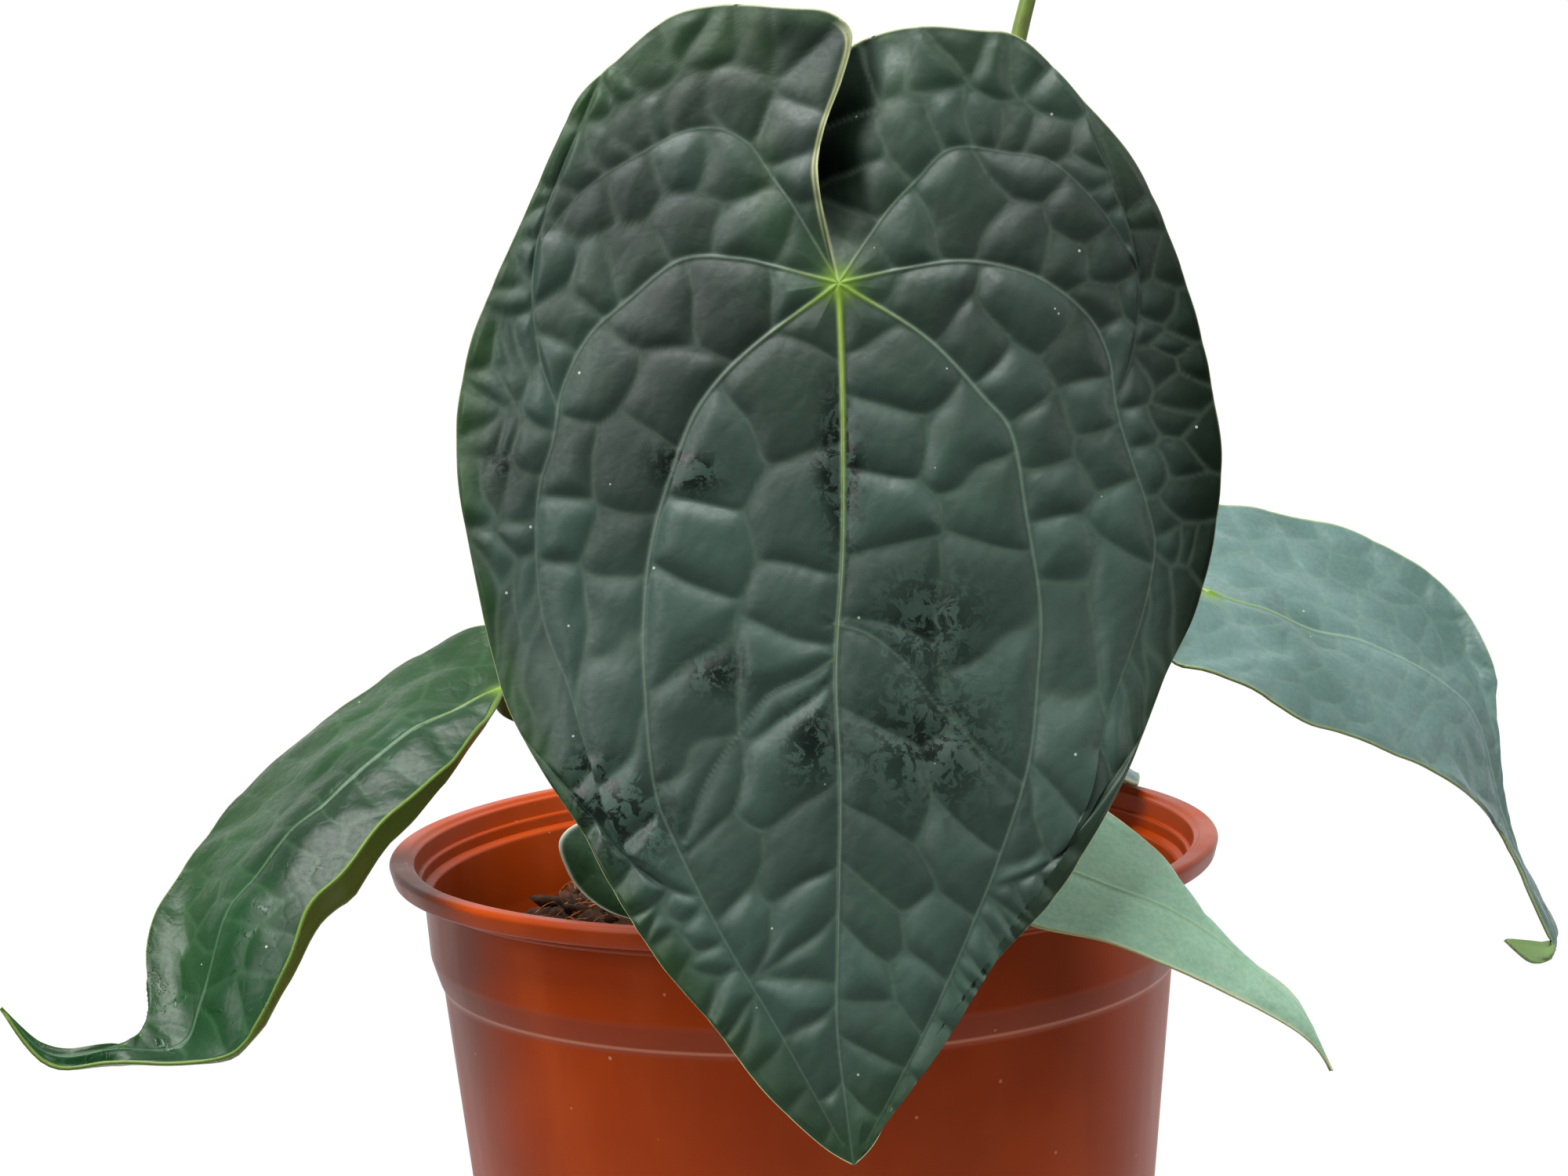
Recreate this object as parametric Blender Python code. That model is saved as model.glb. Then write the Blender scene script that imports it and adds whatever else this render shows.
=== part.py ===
"""A potted anthurium: heart-shaped leaves on thin stalks from one short stem, in a plastic nursery pot.

Every solid is in metres, +Z up. The origin is the centre of the pot's flat base, and the front
of the plant, where its largest leaf hangs over the rim, looks along -Y.
"""

import math
import random

import bmesh
import bpy
from mathutils import Vector

MM = 0.001
GAP = 0.3 * MM  # between pieces that touch

# Pot: a turned shell with a flat lip and one step below it.
POT_HEIGHT = 160 * MM
RIM_RADIUS = 85 * MM
LIP_WIDTH = 5.1 * MM
LIP_DEPTH = 4.3 * MM
WALL = 1.8 * MM
FLOOR = 3 * MM
STEP_TOP = 20 * MM  # below the rim
STEP_FOOT = 26.6 * MM
WALL_BELOW_LIP = 78.4 * MM  # outer radius of the wall where it meets the lip
WALL_ABOVE_STEP = 77.4 * MM
WALL_BELOW_STEP = 75.1 * MM
LEDGE_DEPTH = 6.5 * MM  # of the small ledge inside the mouth
EDGE_SOFTENING = 0.9 * MM  # where the lip's edges are rounded off
MID_HEIGHT = 60 * MM  # of the extra ring in the tall wall
POT_SIDES = 48
HOLE_RADIUS = 4.5 * MM
HOLE_RING = 44 * MM
HOLE_COUNT = 8

# Growing mix: a mound that the stem stands in.
MIX_EDGE_HEIGHT = 137 * MM
MIX_TOP_HEIGHT = 150 * MM
MIX_REACH = 70 * MM  # where the mound has fallen to its edge height
STEM_RADIUS = 7 * MM
STEM_FOOT = MIX_TOP_HEIGHT - 12 * MM
STEM_TOP = MIX_TOP_HEIGHT + 20 * MM
ROOT_START = MIX_TOP_HEIGHT + 1.9 * MM
SHEATH_FOOT = MIX_TOP_HEIGHT + 3 * MM
STALK_START = MIX_TOP_HEIGHT + 6.5 * MM

BLADE_THICKNESS = 1.2 * MM
PETIOLE_RADIUS = 1.7 * MM
PEDUNCLE_RADIUS = 1.65 * MM

# The front leaf lies on a plane that hangs from its hub, where its stalk and its main veins meet.
FRONT_HUB = (10, -78, 277)
FRONT_LEAN_BELOW = 0.155  # millimetres forward for each millimetre down
FRONT_LEAN_ABOVE = 0.2  # millimetres back for each millimetre up, over the basal lobes
FRONT_HALF_WIDTH = 70
FRONT_SIDE_FALL = 9  # how far the leaf's sides curve back
LOBE_LIFT = {-1: 2.6, 1: -6.0}  # the left basal lobe lies in front of the right one
FRONT_STALK_POINT = (10, -76.6, 272)  # just below the hub

# Outline of the front leaf, (right, up) from its hub, from the sinus over a basal lobe to the tip.
FRONT_TIP = (-3, -155)
FRONT_MIDRIB = [(0, 0), (-1, -47), (-3, -89), (-5, -130), FRONT_TIP]
FRONT_LEFT = [
    (0, 0), (-3, 11), (-3, 21), (-1, 30), (4, 43), (0, 48), (-15, 50), (-29, 48), (-45, 35),
    (-55, 16), (-66, -7), (-70, -29), (-67, -52), (-62, -74), (-49, -96), (-36, -119),
    (-19, -141), FRONT_TIP,
]  # fmt: skip
FRONT_RIGHT = [
    (0, 0), (1, 11), (0, 21), (0, 30), (3, 41), (10, 44), (26, 44), (39, 38), (53, 22),
    (62, 1), (67, -23), (68, -34), (65, -50), (56, -72), (45, -94), (24, -120), (6, -142),
    FRONT_TIP,
]  # fmt: skip

# The other blades, as lengthwise lines of points (x, y, z) from the hub, in order across the leaf.
LEFT_HUB = (-58, -20, 197)
LEFT_LINES = [
    [(0, 0, 0), (8, 15, 4), (-4, 20, 9), (-18, 20, 4), (-34, 16, -5), (-53, 4, -20),
     (-65, -18, -34), (-68, -32, -43), (-65, -46, -57), (-73, -50, -57), (-84, -52, -56),
     (-92, -52, -49)],
    [(0, 0, 0), (-18, -10, -7), (-34, -22, -18), (-50, -34, -34), (-56, -42, -51),
     (-60, -46, -58), (-73, -51, -58), (-84, -53, -57), (-92, -52, -49)],
    [(0, 0, 0), (-3, -8, -5), (-11, -22, -14), (-26, -40, -30), (-34, -46, -38),
     (-40, -50, -47), (-46, -52, -55), (-53, -53, -60), (-73, -52, -60), (-84, -54, -58),
     (-92, -52, -49)],
    [(0, 0, 0), (-1, -9, -3), (-8, -26, -9), (-24, -45, -22), (-33, -51, -31),
     (-37, -55, -40), (-43, -56, -51), (-52, -56, -59), (-73, -55, -59), (-84, -55, -58),
     (-92, -52, -49)],
]  # fmt: skip
RIGHT_HUB = (88, 30, 203)
RIGHT_LINES = [
    [(0, 0, 0), (-8, -8, -1), (-14, -18, -6), (-10, -22, -12), (0, -22, -15), (24, -16, -28),
     (38, -10, -35), (51, -2, -42), (63, 9, -55), (71, 10, -73), (75, 9, -83), (69, 3, -84),
     (63, 3, -79)],
    [(0, 0, 0), (12, 3, -5), (36, 9, -14), (52, 13, -23), (60, 14, -33), (65, 13, -53),
     (72, 13, -71), (76, 12, -80), (74, 7, -83), (69, 5, -82), (63, 3, -79)],
    [(0, 0, 0), (-6, 10, 2), (-8, 20, 9), (-1, 30, 15), (15, 36, 14), (29, 38, 10),
     (43, 36, 4), (56, 32, -5), (65, 22, -20), (64, 18, -38), (66, 17, -54), (73, 16, -71),
     (77, 15, -80), (74, 10, -81), (69, 7, -80), (63, 3, -79)],
]  # fmt: skip
LOW_HUB = (32, -62, 173)
LOW_LINES = [
    [(0, 0, 0), (-6, -8, -4), (-1, -16, -10), (10, -18, -15), (24, -17, -19), (45, -13, -30),
     (60, -9, -40), (65, -8, -47)],
    [(0, 0, 0), (11, -4, -5), (23, -6, -10), (37, -8, -16), (51, -8, -27), (60, -8, -37),
     (65, -8, -47)],
    [(0, 0, 0), (-4, 6, 3), (4, 12, 6), (16, 12, 6), (26, 10, 0), (35, 2, -7), (43, -2, -20),
     (51, -2, -27), (59, -4, -34), (65, -8, -47)],
]  # fmt: skip
SMALL_HUB = (-35, -30, 166)
SMALL_LINES = [
    [(0, 0, 0), (-3, 1, 4), (-9, 2, 4), (-13, 0, 1), (-12, -1, -4), (-9, -2, -9), (-3, -4, -13),
     (6, -7, -15)],
    [(0, 0, 0), (2, -3, -5), (4, -6, -11), (6, -7, -15)],
    [(0, 0, 0), (4, 1, 4), (10, 2, 3), (14, 0, -2), (14, -2, -7), (11, -5, -12), (6, -7, -15)],
]  # fmt: skip
BACK_HUB = (27, 30, 180)
BACK_LINES = [
    [(0, 0, 0), (12, -6, 2), (30, -8, -8), (43, -3, -17), (46, 6, -18), (46, 20, -20),
     (40, 42, -36), (31, 61, -50)],
    [(0, 0, 0), (12, 12, -1), (24, 28, -7), (31, 44, -20), (32, 54, -36), (31, 61, -50)],
    [(0, 0, 0), (-6, 6, 3), (-8, 20, 2), (0, 38, -3), (10, 52, -12), (22, 60, -30),
     (31, 61, -50)],
]  # fmt: skip

# The flower stands above the leaves: a narrow spathe folded back below a slender spadix.
FLOWER_BASE = (59, 8, 351)
SPATHE_LINES = [
    [(0, 0, 0), (-5, 1, 0), (-8, 8, -1), (-5, 17, -5), (1, 26, -11)],
    [(0, 0, 0), (0, 6, 1), (0, 15, -1), (1, 26, -11)],
    [(0, 0, 0), (5, 2, 0), (8, 9, -1), (6, 18, -5), (1, 26, -11)],
]
SPADIX_RADIUS = 2.6 * MM
SPADIX_LENGTH = 46 * MM
SPADIX_LEAN = (0.16, 0.06, 1.0)

ROOT_RADIUS = 1.1 * MM
ROOT_HEADINGS = (205, 268, 350)  # degrees round the stem
SHEATH_HEADINGS = (108, 146, 184)

CHIP_COUNT = 9
CHIP_RING_RADII = (37 * MM, 58 * MM)


def clear_scene():
    for thing in list(bpy.data.objects):
        bpy.data.objects.remove(thing, do_unlink=True)


def material(name, colour, roughness, metallic=0.0):
    """A Principled material of one colour."""
    made = bpy.data.materials.new(name)
    made.use_nodes = True
    shader = made.node_tree.nodes["Principled BSDF"]
    shader.inputs["Base Color"].default_value = (*colour, 1.0)
    shader.inputs["Roughness"].default_value = roughness
    shader.inputs["Metallic"].default_value = metallic
    return made


def add_object(name, mesh, finish):
    """The mesh as a smooth-shaded object of the scene."""
    made = bpy.data.objects.new(name, mesh)
    bpy.context.scene.collection.objects.link(made)
    mesh.materials.append(finish)
    mesh.shade_smooth()
    mesh.set_sharp_from_angle(angle=math.radians(40))
    return made


def mesh_from(name, shape):
    """The bmesh as mesh data, with its faces pointing out."""
    bmesh.ops.recalc_face_normals(shape, faces=shape.faces)
    mesh = bpy.data.meshes.new(name)
    shape.to_mesh(mesh)
    shape.free()
    return mesh


def in_metres(point):
    return Vector(point) * MM


def along(points, share):
    """The point at a share of the way along a smooth curve through the points."""
    steps = [(b - a).length for a, b in zip(points, points[1:])]
    travelled = share * sum(steps)
    index = 0
    while index < len(steps) - 1 and travelled > steps[index]:
        travelled -= steps[index]
        index += 1
    t = min(travelled / steps[index], 1.0)
    before = points[max(index - 1, 0)]
    start, end = points[index], points[index + 1]
    after = points[min(index + 2, len(points) - 1)]
    bend = (2 * before - 5 * start + 4 * end - after) * t * t
    twist = (3 * start - before - 3 * end + after) * t * t * t
    return (2 * start + (end - before) * t + bend + twist) / 2


def between(values, share):
    """The value at a share of the way through evenly spaced values, on straight runs."""
    position = share * (len(values) - 1)
    index = min(int(position), len(values) - 2)
    return values[index] + (values[index + 1] - values[index]) * (position - index)


# Pot


def turned(name, profile, sides):
    """A closed solid turned from (radius, height) points that start and end on the axis."""
    shape = bmesh.new()
    corners = [shape.verts.new((radius, 0, height)) for radius, height in profile]
    edges = [shape.edges.new(pair) for pair in zip(corners, corners[1:])]
    bmesh.ops.spin(
        shape,
        geom=corners + edges,
        cent=(0, 0, 0),
        axis=(0, 0, 1),
        angle=math.tau,
        steps=sides,
        use_merge=True,
    )
    bmesh.ops.remove_doubles(shape, verts=shape.verts, dist=0.001 * MM)
    return mesh_from(name, shape)


def wall_radius(height):
    """The outer radius of the pot's wall, which widens at the step below its lip."""
    depth = POT_HEIGHT - height
    if depth < STEP_TOP:
        return WALL_BELOW_LIP - 0.064 * (depth - LIP_DEPTH)
    if depth < STEP_FOOT:
        return WALL_ABOVE_STEP - 0.35 * (depth - STEP_TOP)
    return WALL_BELOW_STEP - 0.1 * (depth - STEP_FOOT)


def pot_outside():
    """Half profile of the pot's outer side, from the base up to the lip's outer edge."""
    heights = [4 * MM, MID_HEIGHT, POT_HEIGHT - STEP_FOOT, POT_HEIGHT - STEP_TOP]
    base = (wall_radius(0) - 1.5 * MM, 0)
    under_lip = POT_HEIGHT - LIP_DEPTH
    wall = [(wall_radius(height), height) for height in heights]
    lip = [
        (wall_radius(under_lip), under_lip),
        (RIM_RADIUS - EDGE_SOFTENING, under_lip),
        (RIM_RADIUS, POT_HEIGHT - EDGE_SOFTENING),
        (RIM_RADIUS - EDGE_SOFTENING, POT_HEIGHT),
    ]
    return [(0, 0), base, *wall, *lip]


def pot_inside():
    """Half profile of the pot's inner side, from the lip's inner edge down to the floor."""
    ledge = POT_HEIGHT - LEDGE_DEPTH
    step = [POT_HEIGHT - STEP_TOP - MM, POT_HEIGHT - STEP_FOOT - MM]
    heights = [ledge - 2 * MM, *step, MID_HEIGHT, FLOOR]
    wall = [(wall_radius(height) - WALL, height) for height in heights]
    mouth = RIM_RADIUS - LIP_WIDTH
    return [(mouth, POT_HEIGHT), (mouth - 0.8 * MM, ledge), *wall, (0, FLOOR)]


def make_pot(finish):
    pot = add_object("pot", turned("pot", pot_outside() + pot_inside(), POT_SIDES), finish)
    shape = bmesh.new()
    for index in range(HOLE_COUNT):
        angle = math.tau * index / HOLE_COUNT
        centre = Vector((math.cos(angle), math.sin(angle), 0)) * HOLE_RING
        made = bmesh.ops.create_cone(
            shape,
            cap_ends=True,
            segments=12,
            radius1=HOLE_RADIUS,
            radius2=HOLE_RADIUS,
            depth=4 * FLOOR,
        )
        bmesh.ops.translate(shape, verts=made["verts"], vec=centre)
    cutter = add_object("drain_cutter", mesh_from("drain_cutter", shape), finish)
    cutter.hide_render = True
    cutter.display_type = "WIRE"
    drill = pot.modifiers.new("drain_holes", "BOOLEAN")
    drill.object = cutter
    drill.operation = "DIFFERENCE"
    return pot


# Growing mix, stem, roots and bark


def mix_height(radius):
    """Height of the mound's surface at a distance from the pot's axis."""
    share = min(radius / MIX_REACH, 1.0)
    return MIX_EDGE_HEIGHT + (MIX_TOP_HEIGHT - MIX_EDGE_HEIGHT) * math.cos(share * math.pi / 2)


def make_growing_mix(finish):
    top_radius = wall_radius(MIX_EDGE_HEIGHT) - WALL - GAP
    foot_radius = wall_radius(FLOOR) - WALL - GAP
    step = POT_HEIGHT - STEP_FOOT - 1.3 * MM
    pit = STEM_RADIUS + GAP
    foot = FLOOR + GAP
    ring_radii = [pit + 1 * MM, 22 * MM, 38 * MM, 54 * MM]
    surface = [(radius, mix_height(radius)) for radius in ring_radii]
    pit_floor = STEM_FOOT - GAP
    profile = [(0, foot), (foot_radius, foot)]
    profile += [(wall_radius(MID_HEIGHT) - WALL - GAP, MID_HEIGHT)]
    profile += [(wall_radius(step) - WALL - GAP, step), (top_radius - 0.4 * MM, MIX_EDGE_HEIGHT)]
    profile += [*reversed(surface), (pit, pit_floor), (0, pit_floor)]
    return add_object("growing_mix", turned("growing_mix", profile, 32), finish)


def make_stem(finish):
    """The short upright stem, ringed where old leaves have fallen."""
    rings = 6
    profile = [(0, STEM_FOOT)]
    for index in range(rings + 1):
        height = STEM_FOOT + (STEM_TOP - STEM_FOOT - 3 * MM) * index / rings
        narrowing = 0.4 * MM * (index % 2) + 1.6 * MM * (index / rings) ** 2
        profile.append((STEM_RADIUS - narrowing, height))
    profile += [(STEM_RADIUS - 3.6 * MM, STEM_TOP - 0.8 * MM), (0, STEM_TOP)]
    return add_object("stem", turned("stem", profile, 14), finish)


def tube(name, points, radii, finish, count=10, sides=2):
    """A round stalk: a curve object through the points, as thick as the radii along it."""
    curve = bpy.data.curves.new(name, "CURVE")
    curve.dimensions = "3D"
    curve.bevel_depth = 1.0
    curve.bevel_resolution = sides - 1
    curve.use_fill_caps = True
    spline = curve.splines.new("POLY")
    spline.points.add(count - 1)
    for index, knot in enumerate(spline.points):
        share = index / (count - 1)
        knot.co = (*along(points, share), 1.0)
        knot.radius = between(radii, share)
    curve.materials.append(finish)
    made = bpy.data.objects.new(name, curve)
    bpy.context.scene.collection.objects.link(made)
    return made


def make_roots(finish):
    """Three aerial roots that arch out of the stem and come down on the mix."""
    for number, angle in enumerate(ROOT_HEADINGS, start=1):
        heading = Vector((math.cos(math.radians(angle)), math.sin(math.radians(angle)), 0))
        reach = 12 * MM + 2 * MM * number
        radius = ROOT_RADIUS
        start = heading * (STEM_RADIUS + radius + GAP) + Vector((0, 0, ROOT_START))
        crest = heading * (start.xy.length + reach / 2) + Vector((0, 0, ROOT_START + 1.6 * MM))
        end = heading * (start.xy.length + reach)
        end.z = mix_height(end.xy.length) + radius + 4 * GAP
        tube(f"aerial_root_{number}", [start, crest, end], [radius, radius, 0.7 * radius], finish, 7)


def make_bark(finish):
    """Rough chips of bark that lie on the mound."""
    draws = random.Random(5)
    for number in range(1, CHIP_COUNT + 1):
        angle = math.tau * (number + 0.25 * draws.random()) / CHIP_COUNT
        radius = CHIP_RING_RADII[number % 2]
        half = [draws.uniform(5, 8) * MM, draws.uniform(3.5, 5.5) * MM, draws.uniform(1.6, 2.4) * MM]
        shape = bmesh.new()
        bmesh.ops.create_cube(shape, size=2)
        bmesh.ops.subdivide_edges(shape, edges=shape.edges, cuts=1, use_grid_fill=True)
        for corner in shape.verts:
            rough = [0.72 + 0.28 * draws.random() if abs(c) > 0.5 else 1.0 for c in corner.co]
            rounded = 1 - 0.13 * (corner.co.length_squared - 1)
            corner.co = Vector(c * r * h * rounded for c, r, h in zip(corner.co, rough, half))
        chip = add_object(f"bark_chip_{number}", mesh_from("bark_chip", shape), finish)
        slope = math.atan2(mix_height(radius - 6 * MM) - mix_height(radius + 6 * MM), 12 * MM)
        lift = half[2] + GAP + 1.6 * MM
        chip.rotation_euler = (0, slope, angle)
        chip.location = (radius * math.cos(angle), radius * math.sin(angle), mix_height(radius) + lift)


# Leaves


def front_point(right, up):
    """The place of a point of the front leaf's flat outline."""
    lean = FRONT_LEAN_BELOW if up < 0 else FRONT_LEAN_ABOVE
    depth = lean * up + FRONT_SIDE_FALL * (right / FRONT_HALF_WIDTH) ** 2
    return in_metres((right, depth, up))


def front_lines():
    """The front leaf's left margin, midrib and right margin, the lobes one before the other."""
    lines = []
    for side, outline in ((-1, FRONT_LEFT), (0, FRONT_MIDRIB), (1, FRONT_RIGHT)):
        line = []
        for index, (right, up) in enumerate(outline):
            place = front_point(right, up)
            beside_sinus = side and 0 < index < 5
            if beside_sinus:
                place.y -= LOBE_LIFT[side] * MM * min(1.0, max(0.0, (up - 8) / 18))
            line.append(place)
        lines.append(line)
    return lines


def across(line_points, share):
    """The point at a share of the way across the leaf, from its first line to its last."""
    position = share * (len(line_points) - 1)
    index = min(int(position), len(line_points) - 2)
    t = position - index
    start, end = line_points[index], line_points[index + 1]
    before = line_points[index - 1] if index else 2 * start - end
    after = line_points[index + 2] if index + 2 < len(line_points) else 2 * end - start
    bend = (2 * before - 5 * start + 4 * end - after) * t * t
    twist = (3 * start - before - 3 * end + after) * t * t * t
    return (2 * start + (end - before) * t + bend + twist) / 2


def blade(name, hub, lines, finish, rows, columns, thickness=BLADE_THICKNESS):
    """A thin closed leaf: a sheet through lengthwise lines that all run from the hub to the tip."""
    base = in_metres(hub)
    shape = bmesh.new()
    hub_corner = shape.verts.new(base + lines[0][0])
    tip_corner = shape.verts.new(base + lines[0][-1])
    grid = []
    for row in range(1, rows):
        knots = [along(line, row / rows) for line in lines]
        places = [across(knots, column / columns) for column in range(columns + 1)]
        grid.append([shape.verts.new(base + place) for place in places])
    for column in range(columns):
        shape.faces.new((hub_corner, grid[0][column], grid[0][column + 1]))
        shape.faces.new((tip_corner, grid[-1][column + 1], grid[-1][column]))
    for upper, lower in zip(grid, grid[1:]):
        for column in range(columns):
            shape.faces.new((upper[column], lower[column], lower[column + 1], upper[column + 1]))
    bmesh.ops.recalc_face_normals(shape, faces=shape.faces)
    mesh = bpy.data.meshes.new(name)
    shape.to_mesh(mesh)
    shape.free()
    made = add_object(name, mesh, finish)
    wall = made.modifiers.new("blade_thickness", "SOLIDIFY")
    wall.thickness = thickness
    wall.offset = 0
    return made


def scaled_lines(lines):
    return [[in_metres(point) for point in line] for line in lines]


def make_leaves(finish):
    blade("leaf_front", FRONT_HUB, front_lines(), finish, 26, 12)
    blade("leaf_left", LEFT_HUB, scaled_lines(LEFT_LINES), finish, 20, 9)
    blade("leaf_right", RIGHT_HUB, scaled_lines(RIGHT_LINES), finish, 20, 8)
    blade("leaf_lower_right", LOW_HUB, scaled_lines(LOW_LINES), finish, 16, 8)
    blade("leaf_small", SMALL_HUB, scaled_lines(SMALL_LINES), finish, 10, 6)
    blade("leaf_back", BACK_HUB, scaled_lines(BACK_LINES), finish, 14, 8)


def stalk(name, heading, hub, arrival, middle, finish, radius=PETIOLE_RADIUS):
    """A petiole from the stem's side to the underside of a blade, which it meets square on."""
    outward = Vector((math.cos(math.radians(heading)), math.sin(math.radians(heading)), 0))
    start = outward * (STEM_RADIUS + radius + 4 * GAP) + Vector((0, 0, STALK_START))
    rise = start + Vector((0, 0, 10 * MM)) + 2 * MM * outward
    toward_blade = Vector(arrival).normalized()
    end = in_metres(hub) - toward_blade * (BLADE_THICKNESS / 2 + 5 * GAP)
    square_on = end - toward_blade * 7 * MM
    route = [start, rise, *[in_metres(point) for point in middle], square_on, end]
    tube(name, route, [1.25 * radius, radius, radius, radius, 1.1 * radius], finish, 14)


def make_petioles(finish):
    stalk("petiole_front", 285, FRONT_STALK_POINT, (0, -1, 0.15), [(6, -24, 210), (10, -52, 258)], finish)
    stalk("petiole_left", 222, LEFT_HUB, (-0.35, -0.55, 0.75), [(-28, -10, 182)], finish)
    stalk("petiole_right", 15, RIGHT_HUB, (0.35, -0.5, 0.8), [(36, 12, 182), (70, 26, 194)], finish)
    stalk("petiole_lower_right", 325, LOW_HUB, (0.2, -0.55, 0.8), [(19, -26, 165)], finish)
    stalk("petiole_small", 252, SMALL_HUB, (0, -1, 0.25), [(-24, -14, 164)], finish, 1.1 * MM)
    stalk("petiole_back", 38, BACK_HUB, (0.1, 0, 1), [(20, 22, 170)], finish, 1.3 * MM)


def make_cataphylls(finish):
    """Dry pointed sheaths that wrapped the young leaves, standing round the stem."""
    for number, angle in enumerate(SHEATH_HEADINGS, start=1):
        turn = math.radians(angle)
        outward = Vector((math.cos(turn), math.sin(turn), 0))
        sideways = Vector((-math.sin(turn), math.cos(turn), 0))
        height = 19 + 3 * number
        lines = []
        for side in (-1, 0, 1):
            bow = 0 if side == 0 else -1.6
            line = [
                Vector((0, 0, 0)),
                sideways * 3.4 * side + outward * (bow + 0.8) + Vector((0, 0, 0.3 * height)),
                sideways * 2.2 * side + outward * (0.5 * bow + 2.6) + Vector((0, 0, 0.7 * height)),
                outward * 5.5 + Vector((0, 0, height)),
            ]
            lines.append([point * MM for point in line])
        foot = outward * (STEM_RADIUS / MM + 5.2) + Vector((0, 0, SHEATH_FOOT / MM))
        blade(f"cataphyll_{number}", foot, lines, finish, 6, 4, 0.7 * MM)


def make_flower(stalk_finish, spathe_finish, spadix_finish):
    """A bare stalk that carries a small spathe and the slender spadix."""
    base = in_metres(FLOWER_BASE)
    lean = Vector(SPADIX_LEAN).normalized()
    start = Vector((2.9 * MM, 10.6 * MM, STALK_START))
    route = [start, in_metres((16, 14, 200)), in_metres((35, 11, 262)), in_metres((49, 7, 320)), base]
    radius = PEDUNCLE_RADIUS
    tube("peduncle", route, [1.2 * radius, radius, radius, radius], stalk_finish, 14)
    foot = base + lean * 2 * GAP
    spadix = [foot, foot + lean * SPADIX_LENGTH / 2, foot + lean * SPADIX_LENGTH]
    thick = SPADIX_RADIUS
    tube("spadix", spadix, [0.8 * thick, thick, 0.9 * thick, 0.35 * thick], spadix_finish, 9, 3)
    hub = Vector(FLOWER_BASE) + Vector((0.2, radius / MM + 2.2, -2.5))
    blade("spathe", hub, scaled_lines(SPATHE_LINES), spathe_finish, 8, 6, 0.9 * MM)


def main():
    clear_scene()
    terracotta = material("terracotta_plastic", (0.36, 0.075, 0.02), 0.38)
    bark = material("bark_mix", (0.10, 0.05, 0.025), 0.95)
    blade_green = material("leaf_green", (0.03, 0.07, 0.04), 0.5)
    stalk_green = material("stalk_green", (0.20, 0.30, 0.06), 0.45)
    stem_brown = material("stem_bark", (0.16, 0.12, 0.05), 0.8)
    root_brown = material("root_skin", (0.25, 0.18, 0.10), 0.85)
    sheath_brown = material("dry_sheath", (0.30, 0.17, 0.08), 0.8)
    spathe_green = material("spathe_green", (0.25, 0.36, 0.12), 0.5)
    spadix_green = material("spadix_green", (0.38, 0.40, 0.14), 0.6)
    make_pot(terracotta)
    make_growing_mix(bark)
    make_bark(bark)
    make_stem(stem_brown)
    make_roots(root_brown)
    make_cataphylls(sheath_brown)
    make_leaves(blade_green)
    make_petioles(stalk_green)
    make_flower(stalk_green, spathe_green, spadix_green)


main()
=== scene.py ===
"""The looks of a potted anthurium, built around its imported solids. Metres, +Z up, front along -Y."""

import math

import bmesh
import bpy
import numpy as np
from mathutils import Matrix, Vector, kdtree


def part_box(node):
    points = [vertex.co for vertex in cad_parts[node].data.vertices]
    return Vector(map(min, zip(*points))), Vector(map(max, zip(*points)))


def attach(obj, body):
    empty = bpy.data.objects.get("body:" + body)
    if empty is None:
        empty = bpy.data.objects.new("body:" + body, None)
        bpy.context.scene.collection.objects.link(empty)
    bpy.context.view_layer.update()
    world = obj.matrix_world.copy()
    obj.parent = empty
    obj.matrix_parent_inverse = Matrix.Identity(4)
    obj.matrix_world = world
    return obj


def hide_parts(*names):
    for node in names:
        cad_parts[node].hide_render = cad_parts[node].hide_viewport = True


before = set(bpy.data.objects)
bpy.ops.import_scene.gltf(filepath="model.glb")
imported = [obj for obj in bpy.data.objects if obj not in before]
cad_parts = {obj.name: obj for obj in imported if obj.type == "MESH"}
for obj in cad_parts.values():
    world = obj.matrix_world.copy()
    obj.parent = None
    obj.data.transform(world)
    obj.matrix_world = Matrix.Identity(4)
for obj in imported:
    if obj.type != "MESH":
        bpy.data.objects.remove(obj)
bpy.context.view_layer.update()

MM = 0.001
BODY = "root"

# Pot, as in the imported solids.
POT_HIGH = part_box("pot")[1]
POT_HEIGHT = POT_HIGH.z
RIM_RADIUS = POT_HIGH.x
LIP_WIDTH = 5.1 * MM
LIP_DEPTH = 4.3 * MM
WALL = 1.8 * MM
FLOOR = 3 * MM
LEDGE_DEPTH = 6.5 * MM
STEP_TOP = 20 * MM
STEP_FOOT = 26.6 * MM
WALL_BELOW_LIP = 6.6 * MM  # in from the lip's edge, where the wall meets it
WALL_ABOVE_STEP = 7.6 * MM
WALL_BELOW_STEP = 9.9 * MM
TAPER_ABOVE_STEP = 0.064
TAPER_IN_STEP = 0.35
TAPER_BELOW_STEP = 0.1
MID_HEIGHT = 60 * MM
BASE_RISE = 1.2 * MM
BASE_RING = 9 * MM
EDGE_SOFTENING = 0.9 * MM
HOLE_RADIUS = 4.5 * MM
HOLE_RING = 44 * MM
HOLE_COUNT = 8

# Growing mix and stem.
MIX_EDGE_HEIGHT = 137 * MM
MIX_TOP_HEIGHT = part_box("growing_mix")[1].z
MIX_RADIUS = 70 * MM
STEM_RADIUS = 7 * MM
STALK_START = MIX_TOP_HEIGHT + 6.5 * MM
CRUMB_COUNT = 1500
STRAND_COUNT = 420

# The front leaf's sheet: its slopes below and above the hub, and in millimetres how far its
# sides fall back at the given distance from the midrib.
FRONT_LEAN_BELOW = 0.155
FRONT_LEAN_ABOVE = 0.2
FRONT_SIDE_FALL = 9
FRONT_HALF_WIDTH = 70

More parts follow.
